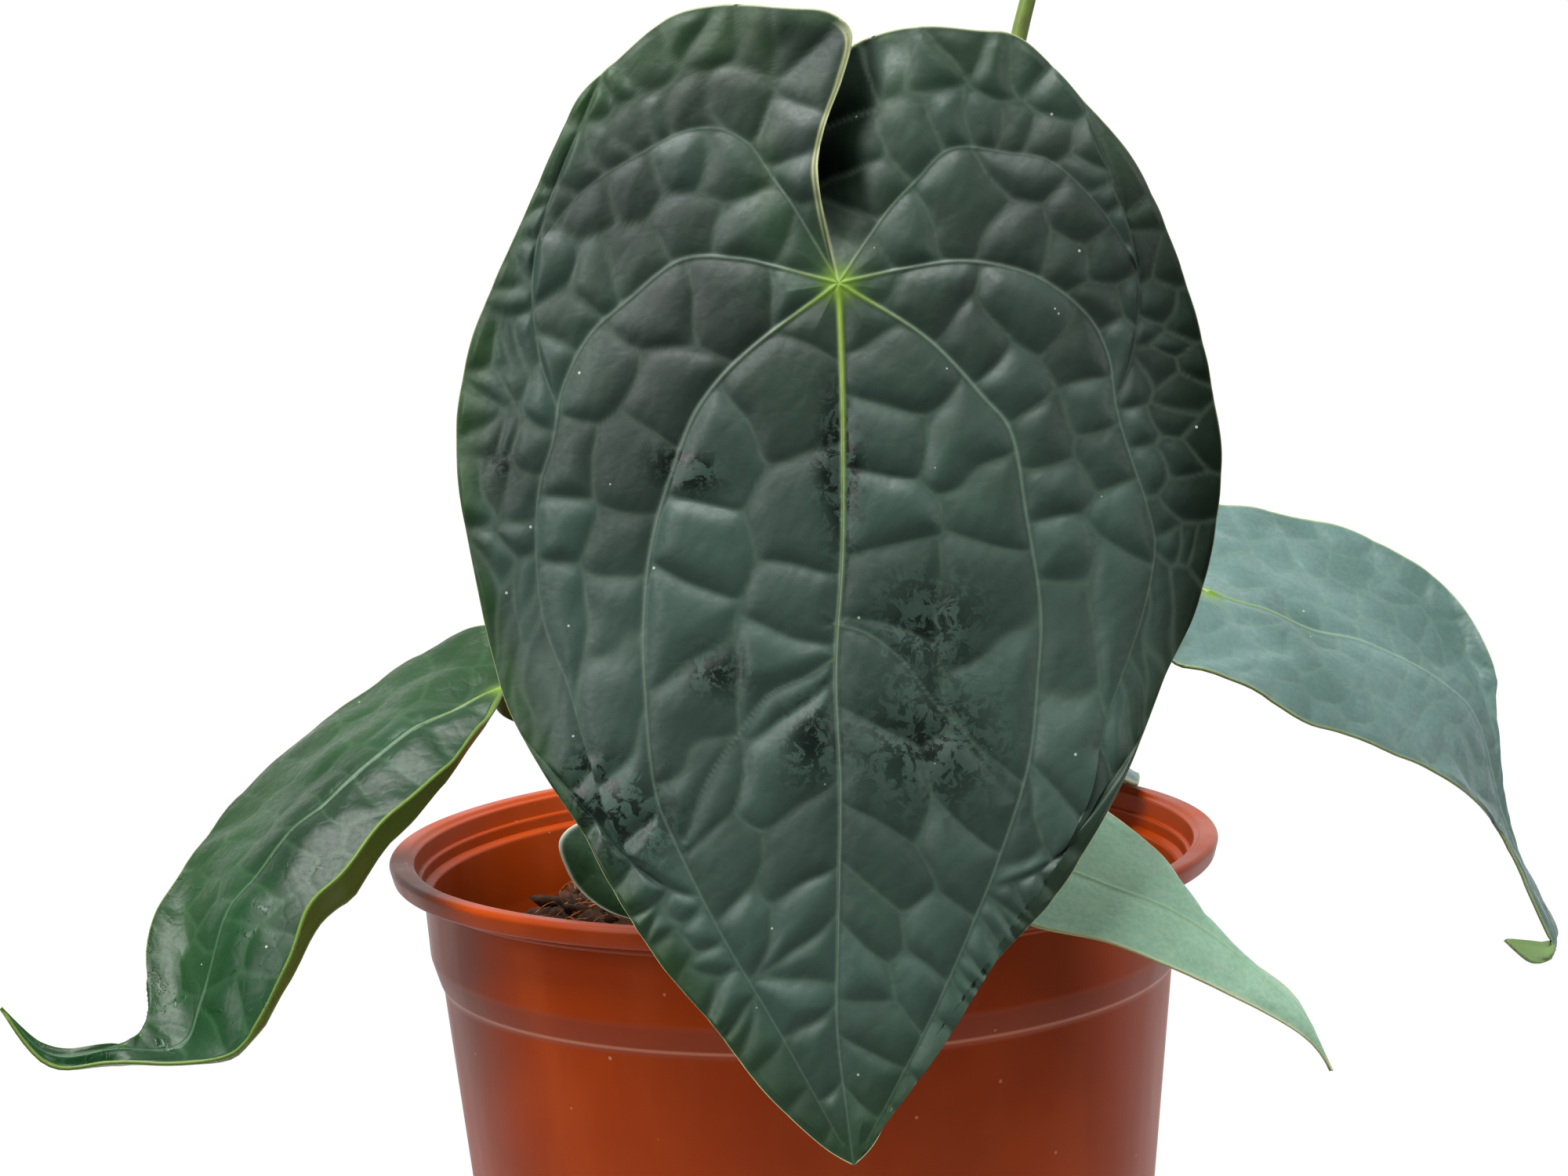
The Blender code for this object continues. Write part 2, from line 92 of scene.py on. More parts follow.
# Lengthwise lines of the front leaf, (right, up) in millimetres from its hub: margins, midrib and
# the curved main veins between them, from the left margin to the right one.
FRONT_LINES = [
    [(0, 0), (-2, 11), (-3, 21), (-1, 29), (2, 36), (4, 44), (0, 48), (-7, 49), (-15, 50),
     (-21, 50), (-29, 48), (-37, 42), (-45, 35), (-50, 26), (-55, 16), (-61, 4), (-66, -7),
     (-69, -18), (-70, -29), (-69, -40), (-67, -52), (-65, -63), (-62, -74), (-56, -85),
     (-49, -96), (-44, -106), (-36, -119), (-27, -130), (-19, -141), (-9, -151), (-3, -155)],
    [(0, 0), (-7, 13), (-11, 19), (-15, 25), (-20, 28), (-26, 28), (-33, 25), (-45, 18),
     (-54, 7), (-59, -5), (-62, -18), (-63, -32), (-62, -52), (-57, -72), (-47, -94),
     (-34, -117), (-18, -139), (-3, -155)],
    [(0, 0), (-10, 3), (-18, 5), (-28, 5), (-38, -2), (-45, -8), (-50, -17), (-52, -26),
     (-55, -35), (-56, -46), (-55, -59), (-51, -70), (-48, -81), (-43, -96), (-32, -114),
     (-17, -137), (-3, -155)],
    [(0, 0), (-16, -11), (-25, -20), (-30, -30), (-35, -45), (-37, -60), (-37, -74), (-36, -88),
     (-33, -97), (-25, -114), (-15, -132), (-3, -155)],
    [(0, 0), (0, -20), (-1, -47), (-3, -68), (-3, -89), (-4, -109), (-5, -130), (-4, -144),
     (-3, -155)],
    [(0, 0), (15, -10), (25, -21), (30, -28), (32, -42), (34, -59), (33, -71), (31, -85),
     (27, -97), (21, -111), (11, -131), (-3, -155)],
    [(0, 0), (11, 2), (23, 3), (35, 0), (44, -7), (48, -15), (49, -24), (51, -32), (54, -42),
     (55, -50), (52, -62), (45, -79), (40, -95), (30, -110), (14, -134), (-3, -155)],
    [(0, 0), (9, 12), (14, 17), (21, 23), (31, 22), (39, 20), (47, 12), (53, 2), (58, -12),
     (60, -25), (61, -39), (59, -55), (51, -75), (42, -94), (27, -114), (10, -136), (-3, -155)],
    [(0, 0), (-2, 11), (-4, 21), (-4, 29), (-1, 36), (4, 42), (10, 44), (17, 45), (26, 44),
     (33, 43), (39, 38), (45, 31), (53, 21), (58, 11), (62, 0), (65, -11), (67, -23),
     (68, -34), (66, -48), (62, -61), (56, -72), (51, -83), (45, -94), (35, -109), (24, -120),
     (14, -131), (6, -142), (1, -151), (-3, -155)],
]  # fmt: skip
FRONT_COLUMNS = [52, 44, 56, 72, 72, 56, 48, 52]
FRONT_ROWS = 402
MIDRIB_LINE = 4
FRONT_BANDS = [  # first line, last line, from share, to share, cell length, cell width
    (0, 1, 0.0, 0.3, 7, 17), (1, 2, 0.0, 0.3, 10, 13), (0, 2, 0.3, 0.7, 7.5, 13),
    (2, 3, 0.0, 0.7, 12, 13), (0, 3, 0.7, 1.0, 10, 18), (3, 4, 0.0, 1.0, 13, 16),
    (4, 5, 0.0, 1.0, 13, 16), (5, 6, 0.0, 0.7, 11, 13), (6, 7, 0.0, 0.3, 10, 13),
    (7, 8, 0.0, 0.3, 7, 17), (6, 8, 0.3, 0.7, 7.5, 13), (5, 8, 0.7, 1.0, 10, 18),
]  # fmt: skip
FRONT_VEINS = {  # line: share where it ends, strength at the hub and at its end, green reach
    1: (0.28, 0.32, 0.0, 5), 2: (0.6, 0.5, 0.0, 7), 3: (0.97, 0.62, 0.03, 11),
    4: (1.0, 1.0, 0.1, 44), 5: (0.97, 0.62, 0.03, 11), 6: (0.6, 0.5, 0.0, 7),
    7: (0.28, 0.32, 0.0, 5),
}  # fmt: skip
GRIME_SPOTS = [  # right, up, half width, half height
    (-1, -32, 4, 5), (-42, -93, 10, 9), (14, -60, 9, 8), (13, -82, 12, 11), (-30, -31, 5, 4),
    (-26, -33, 4, 3), (-8, -80, 5, 8), (-62, -30, 3, 3), (-24, -68, 6, 4), (-48, -86, 4, 5),
]  # fmt: skip
FRONT_SIDE_VEINS = [
    [(-3, -66), (-8, -69), (-15, -72), (-20, -78), (-26, -86), (-31, -97)],
    [(-3, -60), (3, -62), (9, -67), (14, -74), (21, -82), (26, -89), (30, -96)],
]

# Lengthwise lines (x, y, z) of the other blades, in millimetres from the hub.
LEFT_LINES = [
    [(0, 0, 0), (8, 15, 4), (-4, 20, 9), (-18, 20, 4), (-34, 16, -5), (-53, 4, -20),
     (-65, -18, -34), (-68, -32, -43), (-65, -46, -57), (-73, -50, -57), (-84, -52, -56),
     (-92, -52, -49)],
    [(0, 0, 0), (-18, -10, -7), (-34, -22, -18), (-50, -34, -34), (-56, -42, -51),
     (-60, -46, -58), (-73, -51, -58), (-84, -53, -57), (-92, -52, -49)],
    [(0, 0, 0), (-3, -8, -5), (-11, -22, -14), (-26, -40, -30), (-34, -46, -38),
     (-40, -50, -47), (-46, -52, -55), (-53, -53, -60), (-73, -52, -60), (-84, -54, -58),
     (-92, -52, -49)],
    [(0, 0, 0), (-1, -9, -3), (-8, -26, -9), (-24, -45, -22), (-33, -51, -31),
     (-37, -55, -40), (-43, -56, -51), (-52, -56, -59), (-73, -55, -59), (-84, -55, -58),
     (-92, -52, -49)],
]  # fmt: skip
RIGHT_LINES = [
    [(0, 0, 0), (-8, -8, -1), (-14, -18, -6), (-10, -22, -12), (0, -22, -15), (24, -16, -28),
     (38, -10, -35), (51, -2, -42), (63, 9, -55), (71, 10, -73), (75, 9, -83), (69, 3, -84),
     (63, 3, -79)],
    [(0, 0, 0), (12, 3, -5), (36, 9, -14), (52, 13, -23), (60, 14, -33), (65, 13, -53),
     (72, 13, -71), (76, 12, -80), (74, 7, -83), (69, 5, -82), (63, 3, -79)],
    [(0, 0, 0), (-6, 10, 2), (-8, 20, 9), (-1, 30, 15), (15, 36, 14), (29, 38, 10),
     (43, 36, 4), (56, 32, -5), (65, 22, -20), (64, 18, -38), (66, 17, -54), (73, 16, -71),
     (77, 15, -80), (74, 10, -81), (69, 7, -80), (63, 3, -79)],
]  # fmt: skip
LOW_LINES = [
    [(0, 0, 0), (-6, -8, -4), (-1, -16, -10), (10, -18, -15), (24, -17, -19), (45, -13, -30),
     (60, -9, -40), (65, -8, -47)],
    [(0, 0, 0), (11, -4, -5), (23, -6, -10), (37, -8, -16), (51, -8, -27), (60, -8, -37),
     (65, -8, -47)],
    [(0, 0, 0), (-4, 6, 3), (4, 12, 6), (16, 12, 6), (26, 10, 0), (35, 2, -7), (43, -2, -20),
     (51, -2, -27), (59, -4, -34), (65, -8, -47)],
]  # fmt: skip
SMALL_LINES = [
    [(0, 0, 0), (-3, 1, 4), (-9, 2, 4), (-13, 0, 1), (-12, -1, -4), (-9, -2, -9), (-3, -4, -13),
     (6, -7, -15)],
    [(0, 0, 0), (2, -3, -5), (4, -6, -11), (6, -7, -15)],
    [(0, 0, 0), (4, 1, 4), (10, 2, 3), (14, 0, -2), (14, -2, -7), (11, -5, -12), (6, -7, -15)],
]  # fmt: skip
BACK_LINES = [
    [(0, 0, 0), (12, -6, 2), (30, -8, -8), (43, -3, -17), (46, 6, -18), (46, 20, -20),
     (40, 42, -36), (31, 61, -50)],
    [(0, 0, 0), (12, 12, -1), (24, 28, -7), (31, 44, -20), (32, 54, -36), (31, 61, -50)],
    [(0, 0, 0), (-6, 6, 3), (-8, 20, 2), (0, 38, -3), (10, 52, -12), (22, 60, -30),
     (31, 61, -50)],
]  # fmt: skip
SPATHE_LINES = [
    [(0, 0, 0), (-5, 1, 0), (-8, 8, -1), (-5, 17, -5), (1, 26, -11)],
    [(0, 0, 0), (0, 6, 1), (0, 15, -1), (1, 26, -11)],
    [(0, 0, 0), (5, 2, 0), (8, 9, -1), (6, 18, -5), (1, 26, -11)],
]
SPADIX_LEAN = (0.16, 0.06, 1.0)
SPADIX_RADIUS = 2.6 * MM
EDGE_SOFTNESS = 0.35  # of the creases round the raised cells, in millimetres
CELL_SOFTNESS = 0.75  # of the ridges inside the raised cells, in millimetres


# Curves and noise


def linear(red, green, blue):
    """A colour given on the usual 0 to 255 scale, as the shader's linear values."""
    values = np.array([red, green, blue]) / 255
    return tuple(np.where(values <= 0.04045, values / 12.92, ((values + 0.055) / 1.055) ** 2.4))


def blended(before, start, end, after, t):
    """Catmull-Rom between start and end."""
    bend = (2 * before - 5 * start + 4 * end - after) * t**2
    twist = (3 * start - before - 3 * end + after) * t**3
    return (2 * start + (end - before) * t + bend + twist) / 2


def along(points, shares):
    """Points at shares of the way along a smooth curve through the points."""
    knots = np.array(points, float)
    steps = np.linalg.norm(np.diff(knots, axis=0), axis=1)
    reached = np.concatenate([[0], np.cumsum(steps)])
    travelled = np.asarray(shares) * reached[-1]
    index = np.clip(np.searchsorted(reached, travelled, side="right") - 1, 0, len(steps) - 1)
    t = ((travelled - reached[index]) / steps[index])[:, None]
    before = knots[np.maximum(index - 1, 0)]
    after = knots[np.minimum(index + 2, len(knots) - 1)]
    return blended(before, knots[index], knots[index + 1], after, t)


def across(lines, positions):
    """Lines (count, rows, n) read at positions counted in lines: (rows, columns, n)."""
    padded = np.concatenate([[2 * lines[0] - lines[1]], lines, [2 * lines[-1] - lines[-2]]])
    index = np.minimum(positions.astype(int), len(lines) - 2)
    t = (positions - index)[:, None, None]
    grid = blended(padded[index], padded[index + 1], padded[index + 2], padded[index + 3], t)
    return grid.transpose(1, 0, 2)


def ripple(places, size, seed):
    """Smooth irregular values of about -1 to 1, with bumps about `size` wide."""
    draws = np.random.default_rng(seed)
    total = np.zeros(places.shape[:-1])
    for _ in range(8):
        heading = draws.normal(size=places.shape[-1])
        heading *= draws.uniform(0.6, 1.5) * math.tau / size / np.linalg.norm(heading)
        total += np.sin(places @ heading + draws.uniform(0, math.tau))
    return total / 2.8


def smooth_step(values, low, high):
    t = np.clip((values - low) / (high - low), 0, 1)
    return t * t * (3 - 2 * t)


def unit(vectors):
    return vectors / np.maximum(np.linalg.norm(vectors, axis=-1, keepdims=True), 1e-12)


# Meshes


def add_mesh(name, places, faces, finish, nodes=(), values=None, sharp=None):
    """A mesh object that rides on the plant, with named values at its vertices."""
    mesh = bpy.data.meshes.new(name)
    mesh.from_pydata(np.asarray(places).tolist(), [], [tuple(face) for face in faces])
    shape = bmesh.new()
    shape.from_mesh(mesh)
    bmesh.ops.recalc_face_normals(shape, faces=shape.faces)
    shape.to_mesh(mesh)
    shape.free()
    for key, column in (values or {}).items():
        layer = mesh.attributes.new(key, "FLOAT", "POINT")
        layer.data.foreach_set("value", np.asarray(column, np.float32).ravel())
    mesh.shade_smooth()
    if sharp:
        mesh.set_sharp_from_angle(angle=math.radians(sharp))
    mesh.materials.append(finish)
    made = bpy.data.objects.new(name, mesh)
    bpy.context.scene.collection.objects.link(made)
    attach(made, BODY)
    if nodes:
        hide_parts(*nodes)
    return made


def grid_faces(rows, columns, start=0, wrapped=False):
    """Quads of a grid of vertices, closed round its columns if wrapped."""
    index = start + np.arange(rows * columns).reshape(rows, columns)
    if wrapped:
        index = np.concatenate([index, index[:, :1]], axis=1)
    corners = [index[:-1, :-1], index[1:, :-1], index[1:, 1:], index[:-1, 1:]]
    return np.stack(corners, axis=-1).reshape(-1, 4).tolist()


def stitched(first, second):
    """Triangles between two runs of vertices that have matching ends but different counts."""
    faces = []
    i = j = 0
    while i < len(first) - 1 or j < len(second) - 1:
        first_next = (i + 1) / (len(first) - 1)
        second_next = (j + 1) / (len(second) - 1)
        if i < len(first) - 1 and first_next <= second_next + 1e-9:
            faces.append((first[i], first[i + 1], second[j]))
            i += 1
        else:
            faces.append((first[i], second[j + 1], second[j]))
            j += 1
    return faces


def rounded(profile, radius, steps=4):
    """A run of (radius, height) points with its corners rounded off."""
    points = np.array(profile, float)
    smooth = [points[0]]
    for before, corner, after in zip(points, points[1:], points[2:]):
        reach = min(radius, np.linalg.norm(corner - before) / 2.1, np.linalg.norm(after - corner) / 2.1)
        start = corner + unit(before - corner) * reach
        end = corner + unit(after - corner) * reach
        for t in np.linspace(0, 1, steps + 1):
            smooth.append((1 - t) ** 2 * start + 2 * t * (1 - t) * corner + t**2 * end)
    return np.array([*smooth, points[-1]])


def turned(profile, sides):
    """Places and faces of a solid turned from a profile that starts and ends on the axis."""
    angles = np.linspace(0, math.tau, sides, endpoint=False)
    ring = np.stack([np.cos(angles), np.sin(angles)], axis=-1)
    middle = profile[1:-1]
    places = np.concatenate(
        [
            middle[:, None, :1] * ring[None],
            np.repeat(middle[:, None, 1:], sides, axis=1),
        ],
        axis=-1,
    ).reshape(-1, 3)
    faces = grid_faces(len(middle), sides, wrapped=True)
    ends = np.array([[0, 0, profile[0][1]], [0, 0, profile[-1][1]]])
    first, last = len(places), len(places) + 1
    top = (len(middle) - 1) * sides
    for k in range(sides):
        faces.append((first, k, (k + 1) % sides))
        faces.append((last, top + (k + 1) % sides, top + k))
    return np.concatenate([places, ends]), faces


def frames_along(path):
    """Two directions square to a path at each of its points, without twist."""
    heading = unit(np.gradient(path, axis=0))
    side = unit(np.cross(heading[0], [0.3, 0.9, 0.31]))
    sides = []
    for ahead in heading:
        side = unit(side - ahead * (side @ ahead))
        sides.append(side)
    sides = np.array(sides)
    return sides, np.cross(heading, sides)


def tube_grid(path, radii, sides):
    """Places (rings, sides, 3) of a tube along a path."""
    first, second = frames_along(path)
    angles = np.linspace(0, math.tau, sides, endpoint=False)[None, :, None]
    spokes = first[:, None] * np.cos(angles) + second[:, None] * np.sin(angles)
    return path[:, None] + spokes * np.asarray(radii).reshape(len(path), -1, 1), spokes


def capped(grid, start=0):
    """Places and faces of a tube grid with its ends closed."""
    rings, sides = grid.shape[:2]
    places = np.concatenate([grid.reshape(-1, 3), [grid[0].mean(0)], [grid[-1].mean(0)]])
    faces = grid_faces(rings, sides, start, wrapped=True)
    first = start + rings * sides
    last = first + 1
    top = start + (rings - 1) * sides
    for k in range(sides):
        faces.append((first, start + (k + 1) % sides, start + k))
        faces.append((last, top + k, top + (k + 1) % sides))
    return places, faces


# Materials


class Finish:
    """Builds one procedural material, node by node."""

    def __init__(self, name, roughness=0.5, specular=0.5):
        self.material = bpy.data.materials.new(name)
        self.material.use_nodes = True
        self.tree = self.material.node_tree
        self.shader = self.tree.nodes["Principled BSDF"]
        self.shader.inputs["Roughness"].default_value = roughness
        self.shader.inputs["Specular IOR Level"].default_value = specular
        self.coordinates = self.node("ShaderNodeTexCoord").outputs["Object"]

    def node(self, kind, **settings):
        made = self.tree.nodes.new(kind)
        for key, value in settings.items():
            setattr(made, key, value)
        return made

    def feed(self, socket, value):
        if isinstance(value, bpy.types.NodeSocket):
            self.tree.links.new(value, socket)
        else:
            socket.default_value = value

    def value(self, name):
        """A named value kept at the mesh's vertices."""
        return self.node("ShaderNodeAttribute", attribute_name=name).outputs["Fac"]

    def noise(self, size, detail=3.0, rough=0.55, stretch=(1, 1, 1), warp=0.0):
        mapping = self.node("ShaderNodeMapping")
        mapping.inputs["Scale"].default_value = stretch
        self.feed(mapping.inputs["Vector"], self.coordinates)
        made = self.node("ShaderNodeTexNoise")
        made.inputs["Scale"].default_value = 1 / size
        made.inputs["Detail"].default_value = detail
        made.inputs["Roughness"].default_value = rough
        made.inputs["Distortion"].default_value = warp
        self.feed(made.inputs["Vector"], mapping.outputs[0])
        return made.outputs["Fac"]

    def cells(self, size, feature="DISTANCE_TO_EDGE", randomness=1.0):
        made = self.node("ShaderNodeTexVoronoi", feature=feature)
        made.inputs["Scale"].default_value = 1 / size
        made.inputs["Randomness"].default_value = randomness
        self.feed(made.inputs["Vector"], self.coordinates)
        return made.outputs["Distance"]

    def span(self, value, low, high, out_low=0.0, out_high=1.0):
        """The value brought from one range to another, and held inside it."""
        made = self.node("ShaderNodeMapRange", interpolation_type="SMOOTHSTEP")
        for socket, part in zip(made.inputs, (value, low, high, out_low, out_high)):
            self.feed(socket, part)
        return made.outputs["Result"]

    def maths(self, operation, first, second=0.0):
        made = self.node("ShaderNodeMath", operation=operation)
        self.feed(made.inputs[0], first)
        self.feed(made.inputs[1], second)
        return made.outputs[0]

    def mix(self, share, first, second):
        made = self.node("ShaderNodeMix", data_type="RGBA")
        self.feed(made.inputs[0], share)
        for socket, colour in ((made.inputs[6], first), (made.inputs[7], second)):
            if not isinstance(colour, bpy.types.NodeSocket):
                colour = (*colour, 1.0)
            self.feed(socket, colour)
        return made.outputs[2]

    def bump(self, height, distance, strength=1.0, under=None):
        made = self.node("ShaderNodeBump")
        made.inputs["Strength"].default_value = strength
        made.inputs["Distance"].default_value = distance
        self.feed(made.inputs["Height"], height)
        if under is not None:
            self.feed(made.inputs["Normal"], under)
        return made.outputs["Normal"]

    def finish(self, colour, roughness=None, normal=None, sheen=0.0, sheen_tint=(1, 1, 1)):
        self.feed(self.shader.inputs["Base Color"], colour)
        if roughness is not None:
            self.feed(self.shader.inputs["Roughness"], roughness)
        if normal is not None:
            self.feed(self.shader.inputs["Normal"], normal)
        self.feed(self.shader.inputs["Sheen Weight"], sheen)
        self.shader.inputs["Sheen Roughness"].default_value = 0.4
        self.shader.inputs["Sheen Tint"].default_value = (*sheen_tint, 1.0)
        return self.material


def plastic_finish():
    """Satin terracotta-coloured plastic with faint moulding grain, streaks and dust; a painted shade on the
    step's slanted band and a painted highlight line at its foot.
    """
    made = Finish("terracotta_plastic", specular=0.2)
    broad = made.noise(45 * MM, 3)
    streaks = made.noise(16 * MM, 4, stretch=(1, 1, 0.12))
    grain = made.noise(0.7 * MM, 2)
    specks = made.cells(9 * MM, "F1")
    dust = made.span(specks, 0.035, 0.05, 1.0, 0.0)
    deep = linear(146, 50, 2)
    warm = linear(162, 59, 3)
    colour = made.mix(made.span(broad, 0.35, 0.68), deep, warm)
    colour = made.mix(made.span(streaks, 0.45, 0.75, 0.0, 0.3), colour, linear(172, 74, 16))
    colour = made.mix(made.maths("MULTIPLY", dust, 0.55), colour, linear(214, 150, 120))
    # Painted shade: the slanted band of the step is darkened.
    height = made.node("ShaderNodeSeparateXYZ")
    made.feed(height.inputs[0], made.coordinates)
    foot = POT_HEIGHT - STEP_FOOT + 1.0 * MM
    above = made.span(height.outputs[2], foot, foot + 0.8 * MM)
    below = made.span(height.outputs[2], POT_HEIGHT - STEP_TOP - 1.5 * MM, POT_HEIGHT - STEP_TOP, 1.0, 0.0)
    painted_step_shade = made.maths("MULTIPLY", above, below)
    colour = made.mix(made.maths("MULTIPLY", painted_step_shade, 0.3), colour, linear(96, 30, 2))
    # Painted highlight: a thin pale line at the foot of the step.
    off_line = made.maths("ABSOLUTE", made.maths("SUBTRACT", height.outputs[2], foot))
    painted_foot_highlight = made.span(off_line, 0.15 * MM, 0.5 * MM, 0.5, 0.0)
    colour = made.mix(painted_foot_highlight, colour, linear(206, 140, 112))
    rough = made.span(streaks, 0.3, 0.75, 0.33, 0.47)
    normal = made.bump(grain, 0.02 * MM, 0.5)
    normal = made.bump(broad, 0.2 * MM, 0.2, normal)
    return made.finish(colour, rough, normal)


def leaf_finish(name, colours, roughness, sheen, tint, vein_colour, margin_colour, under_colour,
                wet=0.0, specular=0.5, streaks=0.0, green=linear(28, 60, 22), net_depth=0.05 * MM):
    """A leaf: mottled cells, paler veins, a pale margin, a yellow-green hub and a matt underside."""
    made = Finish(name, specular=specular)
    dark, middle, pale = colours
    broad = made.noise(38 * MM, 3, warp=0.4)
    blotch = made.noise(11 * MM, 4)
    fine = made.noise(1.1 * MM, 3, 0.65)
    net = made.cells(3.4 * MM)
    speck = made.cells(7.5 * MM, "F1")
    cell = made.value("cell")
    colour = made.mix(made.span(broad, 0.34, 0.66), dark, middle)
    # Paler by each cell's random tone, and by the painted light that 'cell' carries on the front leaf.
    colour = made.mix(made.span(cell, 0.1, 2.0, 0.0, 0.75), colour, pale)
    colour = made.mix(made.span(blotch, 0.52, 0.78, 0.0, 0.4), colour, pale)
    greener = made.maths("MULTIPLY", made.value("outer"), made.span(blotch, 0.35, 0.6, 0.5, 1.0))
    colour = made.mix(greener, colour, green)
    colour = made.mix(made.span(fine, 0.35, 0.7, 0.0, 0.16), colour, linear(12, 26, 16))
    if streaks:
        lengthwise = made.noise(2.2 * MM, 3, stretch=(0.18, 1, 0.7))
        colour = made.mix(made.span(lengthwise, 0.5, 0.72, 0.0, streaks), colour, linear(168, 190, 160))
    grime = made.noise(3.2 * MM, 5, 0.75, warp=0.6)
    soiled = made.maths("MULTIPLY", made.value("grime"), made.span(grime, 0.47, 0.53))
    colour = made.mix(made.maths("MULTIPLY", soiled, 0.9), colour, linear(5, 12, 8))
    # Painted shade: the 'deep' value darkens the leaf where it lies in shadow.
    colour = made.mix(made.value("deep"), colour, linear(7, 18, 10))
    colour = made.mix(made.value("line"), colour, vein_colour)
    by_hub = made.mix(made.value("hub"), vein_colour, linear(128, 156, 46))
    colour = made.mix(made.value("vein"), colour, by_hub)
    colour = made.mix(made.value("heart"), colour, linear(104, 138, 34))
    colour = made.mix(made.value("margin"), colour, margin_colour)
    dust = made.span(speck, 0.028, 0.042, 1.0, 0.0)
    colour = made.mix(made.maths("MULTIPLY", dust, 0.6), colour, linear(190, 200, 190))
    colour = made.mix(made.value("under"), colour, under_colour)
    drops = made.noise(6 * MM, 4, 0.7, warp=1.2)
    wetness = made.maths("MULTIPLY", made.value("wet"), made.span(drops, 0.6, 0.63))
    rough = made.span(fine, 0.3, 0.75, roughness - 0.05, roughness + 0.07)
    rough = made.maths("SUBTRACT", rough, made.maths("MULTIPLY", wetness, wet))
    rough = made.maths("SUBTRACT", rough, made.maths("MULTIPLY", soiled, 0.22))
    # The painted shade is made rougher, and its specular and sheen are cut below, so it keeps dark.
    rough = made.maths("ADD", rough, made.maths("MULTIPLY", made.value("deep"), 0.3))
    normal = made.bump(fine, 0.06 * MM, 0.5)
    normal = made.bump(made.span(net, 0.0, 0.22), net_depth, 0.5, normal)
    normal = made.bump(wetness, 0.12 * MM, 0.6, normal)
    # lit: the share of specular and sheen kept, low inside the painted shade.
    lit = made.maths("SUBTRACT", 1.0, made.maths("MULTIPLY", made.value("deep"), 0.92))
    made.feed(made.shader.inputs["Specular IOR Level"], made.maths("MULTIPLY", lit, specular))
    return made.finish(colour, rough, normal, made.maths("MULTIPLY", lit, sheen), tint)


def stalk_finish(name, green, olive, brown):
    """A waxy stalk, mottled along its length."""
    made = Finish(name, specular=0.5)
    mottle = made.noise(2.6 * MM, 4, stretch=(1, 1, 0.35))
    broad = made.noise(24 * MM, 2)
    ridge = made.noise(0.7 * MM, 2, stretch=(1, 1, 0.1))
    colour = made.mix(made.span(broad, 0.35, 0.65), green, olive)
    colour = made.mix(made.span(mottle, 0.5, 0.7, 0.0, 0.7), colour, brown)
    normal = made.bump(ridge, 0.08 * MM, 0.6)
    return made.finish(colour, made.span(mottle, 0.3, 0.7, 0.4, 0.55), normal)


def rough_finish(name, dark, middle, pale, size):
    """Bark, mix or root skin: broken colours and a coarse surface."""
    made = Finish(name, roughness=0.9, specular=0.25)
    broad = made.noise(size * 4, 4, 0.65)
    fine = made.noise(size, 5, 0.7)
    colour = made.mix(made.span(broad, 0.35, 0.65), dark, middle)
    colour = made.mix(made.span(fine, 0.55, 0.75, 0.0, 0.8), colour, pale)
    normal = made.bump(fine, size * 0.5, 0.9)
    return made.finish(colour, made.span(fine, 0.3, 0.8, 0.7, 0.95), normal)


def spadix_finish():
    made = Finish("spadix_cream_green", specular=0.4)
    broad = made.noise(9 * MM, 3)
    fine = made.noise(0.5 * MM, 3)
    colour = made.mix(made.span(broad, 0.35, 0.65), linear(150, 150, 82), linear(188, 180, 110))
    colour = made.mix(made.value("seam"), colour, linear(92, 96, 44))
    normal = made.bump(fine, 0.06 * MM, 0.5)
    return made.finish(colour, made.span(fine, 0.3, 0.7, 0.45, 0.6), normal)


# Pot


def wall_radius(height):
    """The outer radius of the pot's wall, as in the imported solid."""
    depth = POT_HEIGHT - height
    if depth < STEP_TOP:
        return RIM_RADIUS - WALL_BELOW_LIP - TAPER_ABOVE_STEP * (depth - LIP_DEPTH)
    if depth < STEP_FOOT:
        return RIM_RADIUS - WALL_ABOVE_STEP - TAPER_IN_STEP * (depth - STEP_TOP)
    return RIM_RADIUS - WALL_BELOW_STEP - TAPER_BELOW_STEP * (depth - STEP_FOOT)


def pot_profile():
    """The pot's half section, from the outer base round the lip to the inner floor."""
    under_lip = POT_HEIGHT - LIP_DEPTH
    ledge = POT_HEIGHT - LEDGE_DEPTH
    mouth = RIM_RADIUS - LIP_WIDTH
    foot = wall_radius(0)
    outside = [(0, BASE_RISE), (foot - BASE_RING, BASE_RISE), (foot - BASE_RING - MM, 0)]
    outside.append((foot - 1.5 * MM, 0))
    for height in (4 * MM, MID_HEIGHT, POT_HEIGHT - STEP_FOOT):
        outside.append((wall_radius(height), height))
    bead = POT_HEIGHT - STEP_FOOT + 1.2 * MM
    outside.append((wall_radius(bead) + 0.25 * MM, bead))
    outside.append((wall_radius(POT_HEIGHT - STEP_TOP), POT_HEIGHT - STEP_TOP))
    outside += [(wall_radius(under_lip), under_lip), (RIM_RADIUS - EDGE_SOFTENING, under_lip)]
    outside += [(RIM_RADIUS, POT_HEIGHT - EDGE_SOFTENING), (RIM_RADIUS - 0.6 * MM, POT_HEIGHT)]
    inside = [(mouth + 1.6 * MM, POT_HEIGHT), (mouth + 0.9 * MM, POT_HEIGHT - 0.7 * MM)]
    inside += [(mouth, POT_HEIGHT - 0.9 * MM), (mouth - 0.8 * MM, ledge)]
    step_heights = (ledge - 0.8 * MM, POT_HEIGHT - STEP_TOP - MM, POT_HEIGHT - STEP_FOOT - MM)
    for height in (*step_heights, MID_HEIGHT, FLOOR):
        inside.append((wall_radius(height) - WALL, height))
    return rounded([*outside, *inside, (0, FLOOR)], 0.7 * MM)


